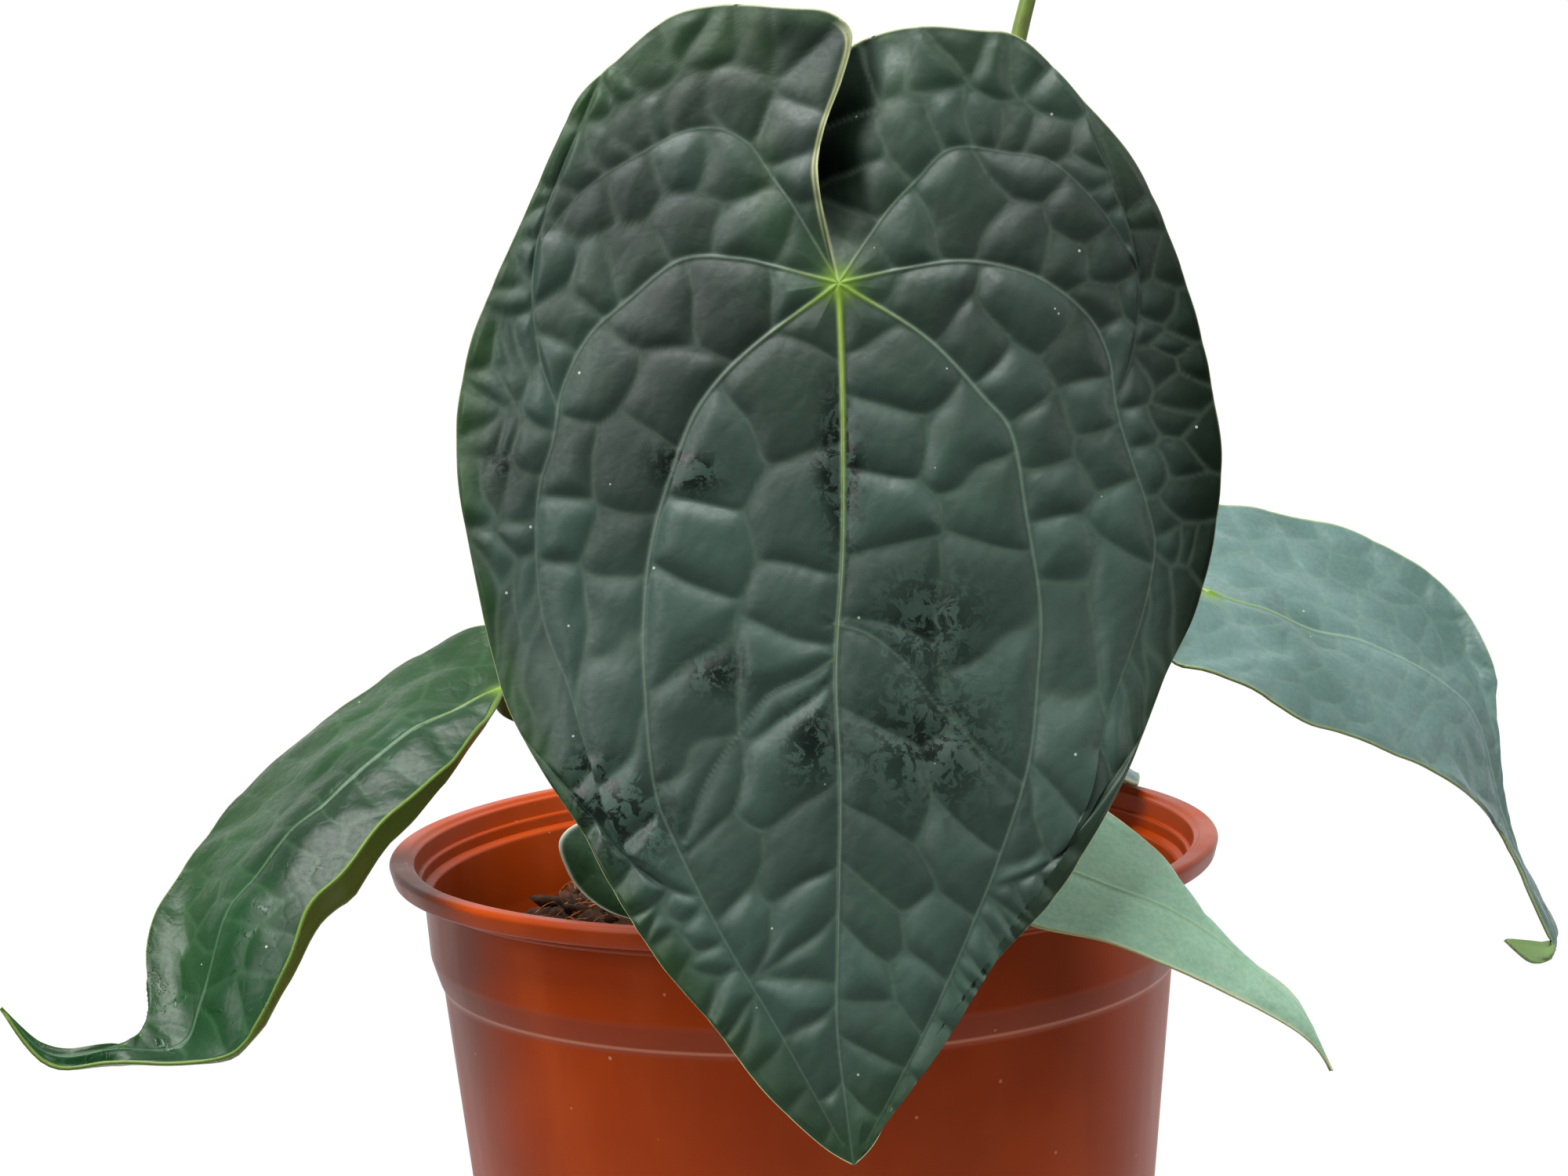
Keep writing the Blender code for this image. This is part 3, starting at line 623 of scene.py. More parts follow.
def make_pot(finish):
    places, faces = turned(pot_profile(), 224)
    pot = add_mesh("pot_shell", places, faces, finish, ["pot"], sharp=50)
    shape = bmesh.new()
    for index in range(HOLE_COUNT):
        angle = math.tau * index / HOLE_COUNT
        centre = Vector((math.cos(angle), math.sin(angle), 0)) * HOLE_RING
        made = bmesh.ops.create_cone(
            shape,
            cap_ends=True,
            segments=32,
            radius1=HOLE_RADIUS,
            radius2=HOLE_RADIUS,
            depth=4 * FLOOR,
        )
        bmesh.ops.translate(shape, verts=made["verts"], vec=centre)
    mesh = bpy.data.meshes.new("drain_cutter")
    shape.to_mesh(mesh)
    shape.free()
    cutter = bpy.data.objects.new("drain_cutter", mesh)
    bpy.context.scene.collection.objects.link(cutter)
    drill = pot.modifiers.new("drain_holes", "BOOLEAN")
    drill.object = cutter
    drill.operation = "DIFFERENCE"
    bpy.context.view_layer.update()
    evaluated = pot.evaluated_get(bpy.context.evaluated_depsgraph_get())
    drilled = bpy.data.meshes.new_from_object(evaluated)
    pot.modifiers.clear()
    pot.data = drilled
    bpy.data.objects.remove(cutter)


# Growing mix


def mix_height(radius):
    """Height of the mound's surface at a distance from the pot's axis."""
    share = np.minimum(radius / MIX_RADIUS, 1.0)
    return MIX_EDGE_HEIGHT + (MIX_TOP_HEIGHT - MIX_EDGE_HEIGHT) * np.cos(share * math.pi / 2)


def make_mound(finish):
    """The mound's uneven surface, closed off by its root ball below."""
    sides = 200
    edge = wall_radius(MIX_EDGE_HEIGHT) - WALL - 0.3 * MM
    radii = np.linspace(2 * MM, edge, 64)
    profile = [(0, FLOOR + 0.3 * MM), (wall_radius(FLOOR) - WALL - 0.4 * MM, FLOOR + 0.3 * MM)]
    profile += [(wall_radius(MID_HEIGHT) - WALL - 0.4 * MM, MID_HEIGHT)]
    profile.append((edge - 0.5 * MM, MIX_EDGE_HEIGHT - MM))
    profile += [(radius, mix_height(radius)) for radius in radii[::-1]]
    profile.append((0, MIX_TOP_HEIGHT))
    places, faces = turned(np.array(profile), sides)
    top = places[:, 2] > MIX_EDGE_HEIGHT - 0.5 * MM
    lumps = ripple(places, 9 * MM, 3) * 1.1 * MM + ripple(places, 3.5 * MM, 4) * 0.7 * MM
    rough = np.random.default_rng(8).normal(size=len(places)) * 0.35 * MM
    inside = smooth_step(edge - np.linalg.norm(places[:, :2], axis=1), 0, 4 * MM)
    places[:, 2] += np.where(top, (lumps + rough) * inside - 0.6 * MM, 0)
    add_mesh("mix_mound", places, faces, finish, ["growing_mix"])


def crumb_shape():
    """A small round shape as places and faces."""
    shape = bmesh.new()
    bmesh.ops.create_icosphere(shape, subdivisions=2, radius=1)
    places = np.array([corner.co for corner in shape.verts])
    faces = np.array([[corner.index for corner in face.verts] for face in shape.faces])
    shape.free()
    return places, faces


def turned_at_random(draws):
    """A random rotation as a 3 by 3 array."""
    axis, angle = unit(draws.normal(size=3)), draws.uniform(0, math.tau)
    return np.array(Matrix.Rotation(angle, 3, Vector(axis)))


def make_crumbs(finish):
    """Loose crumbs of bark and peat, scattered over the mound."""
    draws = np.random.default_rng(21)
    base, triangles = crumb_shape()
    places, faces = [], []
    for number in range(CRUMB_COUNT):
        radius = (MIX_RADIUS - 1.5 * MM) * math.sqrt(draws.uniform(0.02, 1))
        angle = draws.uniform(0, math.tau)
        size = draws.uniform(0.5, 1.5) * MM * draws.choice([1, 1, 1.6, 2.4])
        flat = size * np.array([draws.uniform(0.8, 1.6), draws.uniform(0.6, 1), draws.uniform(0.35, 0.7)])
        lumpy = base * (1 + 0.3 * ripple(base + number, 1.1, 7)[:, None])
        crumb = (lumpy * flat) @ turned_at_random(draws)
        crumb += [radius * math.cos(angle), radius * math.sin(angle), mix_height(radius) + size * 0.15]
        faces.append(triangles + number * len(base))
        places.append(crumb)
    add_mesh("mix_crumbs", np.concatenate(places), np.concatenate(faces), finish)


def make_strands(finish):
    """Coir and moss strands that lie over the mix and stick up from it."""
    draws = np.random.default_rng(33)
    places, faces = [], []
    count = 0
    for _ in range(STRAND_COUNT):
        radius = (MIX_RADIUS - 7 * MM) * math.sqrt(draws.uniform(0.03, 1))
        angle = draws.uniform(0, math.tau)
        heading = draws.uniform(0, math.tau)
        length = draws.uniform(7, 22) * MM
        steps = 9
        curl = draws.normal() * 1.4
        point = np.array([radius * math.cos(angle), radius * math.sin(angle), 0.0])
        path = []
        for k in range(steps):
            t = k / (steps - 1)
            turn = heading + curl * t + 0.5 * math.sin(5 * t + curl)
            point = point + np.array([math.cos(turn), math.sin(turn), 0]) * length / steps
            reach = np.linalg.norm(point[:2])
            point[:2] *= min(1, (MIX_RADIUS - 2 * MM) / max(reach, 1e-6))
            lift = (0.5 + 4.0 * math.sin(math.pi * t) * abs(curl) / 2.5) * MM
            path.append([point[0], point[1], mix_height(np.linalg.norm(point[:2])) + lift])
        radii = draws.uniform(0.14, 0.42) * MM * np.linspace(1, 0.45, steps)
        grid, _ = tube_grid(np.array(path), radii, 5)
        strand, strand_faces = capped(grid, count)
        places.append(strand)
        faces += strand_faces
        count += len(strand)
    add_mesh("mix_strands", np.concatenate(places), faces, finish)


def make_chips(finish):
    """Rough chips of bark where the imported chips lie."""
    shape = bmesh.new()
    bmesh.ops.create_cube(shape, size=2)
    bmesh.ops.subdivide_edges(shape, edges=shape.edges, cuts=9, use_grid_fill=True)
    base = np.array([corner.co for corner in shape.verts])
    faces = [[corner.index for corner in face.verts] for face in shape.faces]
    shape.free()
    for number in range(1, 10):
        node = f"bark_chip_{number}"
        low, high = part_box(node)
        centre, half = np.array((low + high) / 2), np.array((high - low) / 2)
        ball = unit(base)
        chip = 0.45 * base + 0.55 * ball
        chip = chip * (1 + 0.09 * ripple(base + 3 * number, 1.3, 5)[:, None])
        layered = 0.05 * np.sin(14 * chip[:, 2:] + 3 * ripple(base + number, 1.6, 9)[:, None])
        chip = chip * (0.9 + layered)
        add_mesh(f"bark_{number}", centre + chip * half, faces, finish, [node])


# Leaves


def columns_across(counts):
    """Positions across the lines, closer together beside each line than between them."""
    runs = []
    for line, count in enumerate(counts):
        t = np.linspace(0, 1, count, endpoint=False)
        runs.append(line + t - 0.3 * np.sin(math.tau * t) / math.tau)
    return np.append(np.concatenate(runs), len(counts))


def seeds_in_band(grid, start, stop, pitch, wide, draws):
    """Middles of the raised cells between two main veins, in rows along the band."""
    first, last = grid[:, start], grid[:, stop]
    centre = (first + last) / 2
    reached = np.concatenate([[0], np.cumsum(np.linalg.norm(np.diff(centre, axis=0), axis=1))])
    rows_per_step = len(centre) / max(reached[-1], 1)
    seeds = []
    travelled = pitch * 0.4
    while travelled < reached[-1]:
        row = min(int(np.searchsorted(reached, travelled)), len(centre) - 1)
        width = np.linalg.norm(last[row] - first[row])
        count = max(1, round(width / wide))
        for k in range(count):
            share = (k + 0.5 + draws.uniform(-0.14, 0.14)) / count
            slip = (draws.uniform(-0.2, 0.2) + 0.5 * (k % 2)) * pitch * rows_per_step
            column = start + int(share * (stop - start))
            seeds.append(grid[np.clip(row + int(slip), 0, len(centre) - 1), column])
        travelled += pitch * draws.uniform(0.8, 1.25)
    return np.array(seeds)


def raised_cells(grid, counts, bands, seed, shear):
    """For each vertex: distance to its cell's edge, the same smoothed, its cell's value and tilt.

    Each band lies between two lines and two shares of the length, and its cells keep inside it.
    """
    draws = np.random.default_rng(seed)
    rows, columns = grid.shape[:2]
    edge = np.full((rows, columns), 99.0)
    rise = np.full((rows, columns), 99.0)
    shade = np.zeros((rows, columns))
    tilt = np.zeros((rows, columns))
    sheared = grid + shear
    warped = sheared + 0.9 * np.stack([ripple(grid, 17, seed + k) for k in range(3)], axis=-1)
    starts = np.concatenate([[0], np.cumsum(counts)])
    for first_line, last_line, begin, end, pitch, wide in bands:
        start, stop = starts[first_line], min(starts[last_line], columns - 1)
        top, bottom = round(begin * (rows - 1)), round(end * (rows - 1))
        seeds = seeds_in_band(sheared[top : bottom + 1], start, stop, pitch, wide, draws)
        values = draws.uniform(0, 1, len(seeds))
        slopes = draws.normal(size=seeds.shape)
        block = (slice(top, bottom + 1), slice(start, stop + 1))
        part = warped[block].reshape(-1, 3)
        gaps = ((part[:, None] - seeds[None]) ** 2).sum(-1)
        own = gaps.argmin(1)
        apart = np.linalg.norm(seeds[own][:, None] - seeds[None], axis=-1)
        apart[apart < 1e-6] = np.inf
        reach = (gaps - gaps.min(1)[:, None]) / (2 * apart)
        reach[np.arange(len(own)), own] = 99
        size = grid[block].shape[:2]
        to_edges = [reach.min(1).reshape(size)]
        if begin > 0:
            to_edges.append(np.linalg.norm(grid[block] - grid[block][:1], axis=-1))
        if end < 1:
            to_edges.append(np.linalg.norm(grid[block] - grid[block][-1:], axis=-1))
        edge[block] = np.min(to_edges, axis=0)
        pressed = np.exp(-reach / CELL_SOFTNESS).sum(1).reshape(size)
        for gap in to_edges[1:]:
            pressed += np.exp(-gap / CELL_SOFTNESS)
        rise[block] = -CELL_SOFTNESS * np.log(np.maximum(pressed, 1e-9))
        shade[block] = values[own].reshape(size)
        tilt[block] = ((part - seeds[own]) * slopes[own]).sum(-1).reshape(size)
    return edge, rise, shade, tilt


def nearest_vein(grid, veins):
    """Distance of each vertex to the nearest main vein, that vein's strength and its greenness."""
    spots, facts = [], []
    for path, strong, weak, green_reach in veins:
        fine = along(path, np.linspace(0, 1, 1100))
        travelled = np.concatenate([[0], np.cumsum(np.linalg.norm(np.diff(fine, axis=0), axis=1))])
        spots.append(fine)
        strengths = np.linspace(0, 1, len(fine)) ** 0.7 * (weak - strong) + strong
        facts.append(np.stack([strengths, np.exp(-((travelled / green_reach) ** 2))], axis=-1))
    spots = np.concatenate(spots)
    facts = np.concatenate(facts)
    tree = kdtree.KDTree(len(spots))
    for index, spot in enumerate(spots):
        tree.insert(spot, index)
    tree.balance()
    found = np.array([tree.find(place)[1:] for place in grid.reshape(-1, 3)])
    nearby = facts[found[:, 0].astype(int)].reshape(*grid.shape[:2], 2)
    return found[:, 1].reshape(grid.shape[:2]), nearby[..., 0], nearby[..., 1]


def surface_normals(grid, facing):
    """Unit normals of a grid, all on the side that `facing` looks to."""
    normals = unit(np.cross(np.gradient(grid, axis=0), np.gradient(grid, axis=1)))
    middle = normals[len(normals) // 2, normals.shape[1] // 2]
    return normals if middle @ np.asarray(facing) > 0 else -normals


def thin_to_ends(rows):
    """1 over most of a leaf's length, falling to 0 at its hub and its tip."""
    share = np.linspace(0, 1, rows)[:, None]
    return smooth_step(share, 0.0, 0.06) * smooth_step(1 - share, 0.0, 0.05)


def thin_shell(front, back, corners, offset):
    """Faces of a closed leaf: a fine face, a coarser back, and the rim that joins them.

    front and back are grids of vertex numbers; corners are the four end vertices after them:
    the face's hub and tip, then the back's.
    """
    faces = grid_faces(*front.shape)
    faces += [face[::-1] for face in grid_faces(*back.shape, start=offset)]
    for index, hub_corner, tip_corner in ((front, *corners[:2]), (back, *corners[2:])):
        for first, second in zip(index[0], index[0][1:]):
            faces.append((hub_corner, first, second))
        for first, second in zip(index[-1], index[-1][1:]):
            faces.append((tip_corner, second, first))
    for side in (0, -1):
        front_run = [corners[0], *front[:, side], corners[1]]
        back_run = [corners[2], *back[:, side], corners[3]]
        faces += stitched(front_run, back_run)
    return faces


def leaf_relief(grid, counts, look):
    """Height of the blade's face over its plain sheet, its vein ridge alone, and the vertex values."""
    rows, columns = grid.shape[:2]
    blank = np.zeros((rows, columns))
    edge, rise, shade, tilt = raised_cells(
        grid, counts, look["bands"], look["seed"], look.get("shear", blank[..., None])
    )
    gap, strength, green = nearest_vein(grid, look["veins"])
    rim = np.minimum(
        np.linalg.norm(grid - grid[:, :1], axis=-1), np.linalg.norm(grid - grid[:, -1:], axis=-1)
    )
    ends = thin_to_ends(rows)
    pressed = np.exp(-rise / CELL_SOFTNESS) + np.exp(-gap / CELL_SOFTNESS)
    inner = np.maximum(-CELL_SOFTNESS * np.log(pressed), 0)
    soft_edge = np.sqrt(inner**2 + EDGE_SOFTNESS**2) - EDGE_SOFTNESS
    dome = (1 - np.exp(-((soft_edge / look["roundness"]) ** 1.1))) * (0.6 + 0.8 * shade)
    near_rim = smooth_step(rim, 0.0, 4.0)
    relief = look["relief"] * dome * (0.4 + 0.6 * near_rim)
    relief += look["tilt"] * tilt * (1 - np.exp(-((soft_edge / 2.0) ** 2))) * near_rim
    valley = look["groove"] * strength * np.exp(-((gap / 2.4) ** 2))
    ridge = 0.62 * strength * np.exp(-((gap / (0.18 + 0.42 * strength)) ** 2))
    height = (relief - valley) * ends + ridge * np.maximum(ends, 0.6)
    height += look.get("grain", 0.02) * ripple(grid, 3, look["seed"] + 40)
    from_hub = np.linalg.norm(grid - look["hub"], axis=-1)
    values = {
        # cell: each raised cell's random tone, plus the painted light where the look gives one.
        "cell": shade * look.get("patchy", 1.0) + look.get("painted_light", blank),
        "line": 0.13 * np.exp(-((edge / 0.42) ** 2)) * ends * look.get("line_shown", 1.0),
        "vein": np.clip(0.1 + 1.1 * strength, 0, 1) * np.exp(-((gap / (0.16 + 0.36 * strength)) ** 2))
        * look.get("vein_shown", 1.0),
        "hub": green,
        "heart": np.exp(-((from_hub / look["heart_reach"]) ** 2)),
        "margin": np.exp(-((rim / look["margin_width"]) ** 2)) * look.get("margin_shown", blank + 1)
        + look.get("second_edge", blank) * np.exp(-(((rim - 1.1) / 0.3) ** 2)),
    }
    # Fields taken as the look gives them; 'deep' is the painted shade.
    for key in ("outer", "grime", "wet", "under", "deep"):
        values[key] = look.get(key, blank)
    return height, ridge, values


def add_leaf(node, grid, facing, counts, look, finish, split=None):
    """A leaf from a grid of places in millimetres, as one piece or as two that meet at a column.

    look: bands, relief, roundness, groove, tilt, thickness, veins, seed, hub, tip, and optional
    fields over the grid. Returns where the leaf's hub stands.
    """
    rows, columns = grid.shape[:2]
    normals = surface_normals(grid, facing)
    height, ridge, values = leaf_relief(grid, counts, look)
    half = look["thickness"] / 2
    front = grid + normals * (height + half)[..., None]
    back = grid + normals * (height - ridge - half)[..., None]
    low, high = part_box(node)
    plain = grid.reshape(-1, 3)
    shift = np.array((low + high) / 2) - (plain.min(0) + plain.max(0)) / 2 * MM
    ends = [look["hub"] + normals[0].mean(0) * half, look["tip"] + normals[-1].mean(0) * half]
    ends += [look["hub"] - normals[0].mean(0) * half, look["tip"] - normals[-1].mean(0) * half]
    spans = [(0, columns - 1)] if split is None else [(0, split), (split, columns - 1)]
    names = [f"{node}_blade"] if split is None else [f"{node}_blade_1", f"{node}_blade_2"]
    for name, (first, last) in zip(names, spans):
        picked_rows = np.unique(np.append(np.arange(0, rows, 4), rows - 1))
        picked_columns = np.unique(np.append(np.arange(first, last, 4), last))
        behind = np.ix_(picked_rows, picked_columns)
        face = front[:, first : last + 1]
        places = np.concatenate([face.reshape(-1, 3), back[behind].reshape(-1, 3), ends])
        offset = face[..., 0].size
        face_index = np.arange(offset).reshape(face.shape[:2])
        back_index = offset + np.arange(behind[0].size * behind[1].size)
        corners = offset + len(back_index) + np.arange(4)
        back_index = back_index.reshape(back[behind].shape[:2])
        shown = {}
        for key, field in values.items():
            rear = field[behind].ravel()
            if key == "under":
                rear = rear * 0 + 1
            closing = [field[0].mean(), field[-1].mean(), rear[0], rear[-1]]
            shown[key] = np.concatenate([field[:, first : last + 1].ravel(), rear, closing])
        faces = thin_shell(face_index, back_index, corners, offset)
        add_mesh(name, places * MM + shift, faces, finish, [node], shown)
    return shift


def inner_shares(rows):
    """Shares along a leaf, a little in from its hub and its tip."""
    return np.linspace(0.004, 0.996, rows)


def blade_grid(lines, counts, rows):
    """Places in millimetres of a leaf drawn by lines in space."""
    shares = inner_shares(rows)
    sampled = np.array([along(line, shares) for line in lines])
    return across(sampled, columns_across(counts))


def front_sheet(positions):
    """The front leaf's plain sheet in millimetres from its hub, one basal lobe behind the other."""
    flat = np.array([along(line, inner_shares(FRONT_ROWS)) for line in FRONT_LINES])
    plane = across(flat, positions)
    right, up = plane[..., 0], plane[..., 1]
    depth = FRONT_SIDE_FALL * (right / FRONT_HALF_WIDTH) ** 2
    depth += np.where(up < 0, FRONT_LEAN_BELOW, FRONT_LEAN_ABOVE) * up
    on_left = (positions < MIDRIB_LINE)[None, :]
    own_margin = np.where(on_left[..., None], plane[:, :1], plane[:, -1:])
    from_margin = np.linalg.norm(plane - own_margin, axis=-1)
    beside_sinus = smooth_step(up, 1, 20) * smooth_step(16 - np.abs(right), 0, 8)
    left_lift = 2.6 * np.exp(-((from_margin / 9) ** 2))
    right_fall = 8.5 * np.exp(-((from_margin / 7) ** 2))
    depth += beside_sinus * np.where(on_left, -left_lift, right_fall)
    depth += 1.0 * ripple(plane, 60, 12) * smooth_step(np.abs(right), 12, 50)
    sinus = beside_sinus * smooth_step(12 - np.abs(right), 0, 6) * smooth_step(47 - up, 0, 3)
    return np.stack([right, depth, up], axis=-1), from_margin, sinus


def make_front_leaf(finish):
    """The large velvety leaf, quilted between its main veins."""
    positions = columns_across(FRONT_COLUMNS)
    grid, from_margin, sinus = front_sheet(positions)
    right, up = grid[..., 0], grid[..., 2]
    on_left = (positions < MIDRIB_LINE)[None, :]
    starts = np.concatenate([[0], np.cumsum(FRONT_COLUMNS)])
    veins = []
    for line, (end, strong, weak, reach) in FRONT_VEINS.items():
        veins.append((grid[: int(end * FRONT_ROWS), starts[line]], strong, weak, reach))
    for side_vein in FRONT_SIDE_VEINS:
        points = []
        for x, z in side_vein:
            fall = FRONT_SIDE_FALL * (x / FRONT_HALF_WIDTH) ** 2
            points.append((x, fall + FRONT_LEAN_BELOW * z, z))
        veins.append((points, 0.22, 0.06, 1))
    grime = np.exp(-(((right + 1) / 3.2) ** 2)) * smooth_step(up, -60, -36) * smooth_step(-up, 10, 26)
    for x, z, wide, tall in GRIME_SPOTS:
        grime += np.exp(-(((right - x) / wide) ** 2) - ((up - z) / tall) ** 2)
    shear = np.zeros(grid.shape)
    shear[..., 2] = 0.6 * smooth_step(-up, 45, 95) * np.abs(right - grid[:, starts[MIDRIB_LINE], :1])
    edge_line = 0.55 + 0.45 * smooth_step(-up, 60, 100)
    lobe_edge = sinus * on_left
    greener_left = 0.35 + 0.65 * smooth_step(-right, -40, 40)
    look = {
        "bands": FRONT_BANDS,
        "shear": shear,
        "relief": 1.3,
        "roundness": 2.5,
        "tilt": 0.03,
        "groove": 0.5,
        "thickness": 0.7,
        "seed": 11,
        "veins": veins,
        "hub": np.zeros(3),
        "tip": np.array([-3, FRONT_LEAN_BELOW * -155, -155]),
        "heart_reach": 2.8,
        "margin_width": 0.28 + 0.2 * lobe_edge,
        "margin_shown": np.maximum(edge_line, lobe_edge),
        "second_edge": 0.6 * lobe_edge,
        "outer": np.exp(-((from_margin / 18) ** 2)) * greener_left * (1 - sinus),
        # Painted light: paler towards the lower middle of the blade, away from its margins.
        "painted_light": smooth_step(-up, -5, 60) * smooth_step(from_margin, 4, 24),
        "grime": np.clip(grime, 0, 1),
        # Painted shade: the right lobe's fold behind the left lobe's margin beside the sinus, and the right
        # edge from a little above the hub down, darkened as if in shadow.
        "deep": np.maximum(
            smooth_step(up, -1, 5) * sinus * np.where(on_left, 0, smooth_step(13 - from_margin, 0, 4)),
            0.85 * smooth_step(right, 46, 66) * smooth_step(-up, -20, 10),
        ),
    }
    return add_leaf("leaf_front", grid, (0, -1, 0), FRONT_COLUMNS, look, finish, split=starts[MIDRIB_LINE])


def plain_look(grid, counts, midrib, cells, seed, hub_reach=14, **extra):
    """The look of a smoother leaf with one strong midrib and a band of cells beside each line."""
    bands = [(line, line + 1, 0.0, 1.0, *size) for line, size in enumerate(cells)]
    starts = np.concatenate([[0], np.cumsum(counts)])
    middle = grid[:, min(starts[midrib], grid.shape[1] - 1)]
    look = {
        "bands": bands,
        "relief": 0.55,
        "roundness": 2.4,
        "tilt": 0.02,
        "groove": 0.5,
        "thickness": 0.7,
        "seed": seed,
        "veins": [(middle, 0.7, 0.12, hub_reach)],
        "hub": np.zeros(3),
        "tip": grid[-1].mean(0),
        "heart_reach": 3.0,
        "margin_width": 0.35,
        "patchy": 0.5,
    }
    look.update(extra)
    return look


def make_left_leaf(finish):
    """Glossy wet leaf that hangs to the left and curls its near margin up."""
    counts = [70, 60, 26]
    grid = blade_grid(LEFT_LINES, counts, 300)
    grid += 0.5 * ripple(grid, 18, 5)[..., None] * np.array([0, 0.3, 1.0])
    position = columns_across(counts)[None, :] + np.zeros((len(grid), 1))
    share = np.linspace(0, 1, len(grid))[:, None]
    look = plain_look(
        grid, counts, 1, [(9, 13), (9, 12), (30, 30)], 23,
        relief=0.4, under=smooth_step(position, 2.05, 2.25),
        wet=smooth_step(share, 0.25, 0.6) + 0 * position,
        outer=0.7 * smooth_step(1.2 - position, 0, 1.0), margin_width=0.25,
    )  # fmt: skip
    return add_leaf("leaf_left", grid, (-0.3, -0.6, 0.7), counts, look, finish)


def make_right_leaf(finish):
    counts = [64, 64]
    grid = blade_grid(RIGHT_LINES, counts, 300)
    grid += 0.7 * ripple(grid, 22, 6)[..., None] * np.array([0, 0.3, 1.0])
    look = plain_look(grid, counts, 1, [(9, 11), (9, 11)], 31, relief=0.5, hub_reach=20)
    return add_leaf("leaf_right", grid, (0, -0.5, 0.85), counts, look, finish)


def make_low_leaf(finish):
    counts = [48, 48]
    grid = blade_grid(LOW_LINES, counts, 220)
    look = plain_look(grid, counts, 1, [(16, 30), (16, 30)], 41, relief=0.3, margin_width=0.5)
    return add_leaf("leaf_lower_right", grid, (0, -0.5, 0.85), counts, look, finish)


def make_small_leaf(finish):
    counts = [26, 26]
    grid = blade_grid(SMALL_LINES, counts, 110)
    look = plain_look(grid, counts, 1, [(7, 9), (7, 9)], 51, relief=0.3, margin_width=0.55, heart_reach=1.5)
    return add_leaf("leaf_small", grid, (0, -1, 0.3), counts, look, finish)


def make_back_leaf(finish):
    counts = [44, 44]
    grid = blade_grid(BACK_LINES, counts, 200)
    look = plain_look(grid, counts, 1, [(10, 13), (10, 13)], 61, relief=0.7)
    return add_leaf("leaf_back", grid, (0.3, 0.3, 0.9), counts, look, finish)


# Stalks, stem and flower


def stalk_radii(shares, radius, foot=1.35, neck=1.3):
    """Thicker at the foot, slender along the middle, swollen just below the blade."""
    base = 1 + (foot - 1) * np.exp(-((shares / 0.07) ** 2))
    swelling = (neck - 1) * np.exp(-(((shares - 0.95) / 0.035) ** 2))
    return radius * (base + swelling)


def add_stalk(node, heading, hub, arrival, middle, finish, radius=1.7 * MM, sink=0.5 * MM):
    """A petiole from the stem's side to the underside of a blade."""
    turn = math.radians(heading)
    outward = np.array([math.cos(turn), math.sin(turn), 0])
    start = outward * (STEM_RADIUS - 1 * MM) + [0, 0, STALK_START - 2 * MM]
    side = outward * (STEM_RADIUS + radius + 1.2 * MM) + [0, 0, STALK_START + 2 * MM]
    rise = side + [0, 0, 8 * MM] + 2 * MM * outward
    toward = unit(np.array(arrival, float))
    end = hub - toward * sink
    square_on = end - toward * 8 * MM
    route = [start, side, rise, *[np.array(point) * MM for point in middle], square_on, end]
    shares = np.linspace(0, 1, 150)
    path = along(route, shares)
    grid, spokes = tube_grid(path, stalk_radii(shares, radius), 22)
    grid += spokes * (0.05 * MM * ripple(grid, 6 * MM, 17))[..., None]
    places, faces = capped(grid)
    add_mesh(f"{node}_stalk", places, faces, finish, [node])


def make_stem(finish):
    """The short stem, ringed by the scars of fallen leaves."""
    low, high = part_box("stem")
    shares = np.linspace(0, 1, 90)
    path = np.stack([0 * shares, 0 * shares, low.z + (high.z - low.z) * shares], axis=-1)
    rings = 0.35 * MM * np.abs(np.sin(shares * math.pi * 6)) ** 0.5
    radii = (STEM_RADIUS - 1.4 * MM) * (1 - 0.25 * shares**2) + rings
    radii *= np.sqrt(np.clip((1 - shares) / 0.06, 0, 1)) * 0.25 + 0.75
    grid, spokes = tube_grid(path, radii, 48)
    grid += spokes * (0.3 * MM * ripple(grid, 4 * MM, 3) + 0.12 * MM * ripple(grid, 1.4 * MM, 9))[..., None]
    places, faces = capped(grid)
    add_mesh("stem_bark", places, faces, finish, ["stem"])


def make_roots(finish):
    for number, angle in enumerate((205, 268, 350), start=1):
        heading = np.array([math.cos(math.radians(angle)), math.sin(math.radians(angle)), 0])
        reach = (12 + 2 * number) * MM
        radius = 1.1 * MM
        begin = heading * (STEM_RADIUS - 1.5 * MM) + [0, 0, MIX_TOP_HEIGHT + 1.9 * MM]
        crest_reach = STEM_RADIUS + reach / 2
        crest = heading * crest_reach + [0, 0, MIX_TOP_HEIGHT + 3.2 * MM]
        end_reach = STEM_RADIUS + 1.4 * MM + reach
        end = heading * end_reach + [0, 0, mix_height(end_reach) + 1.6 * MM]
        shares = np.linspace(0, 1, 70)
        path = along([begin, crest, end], shares)
        radii = radius * (1.05 - 0.35 * shares) * np.sqrt(np.clip((1 - shares) / 0.05, 0.04, 1))
        grid, spokes = tube_grid(path, radii, 18)
        grid += spokes * (0.12 * MM * ripple(grid, 2.2 * MM, number))[..., None]
        places, faces = capped(grid)
        add_mesh(f"root_{number}", places, faces, finish, [f"aerial_root_{number}"])


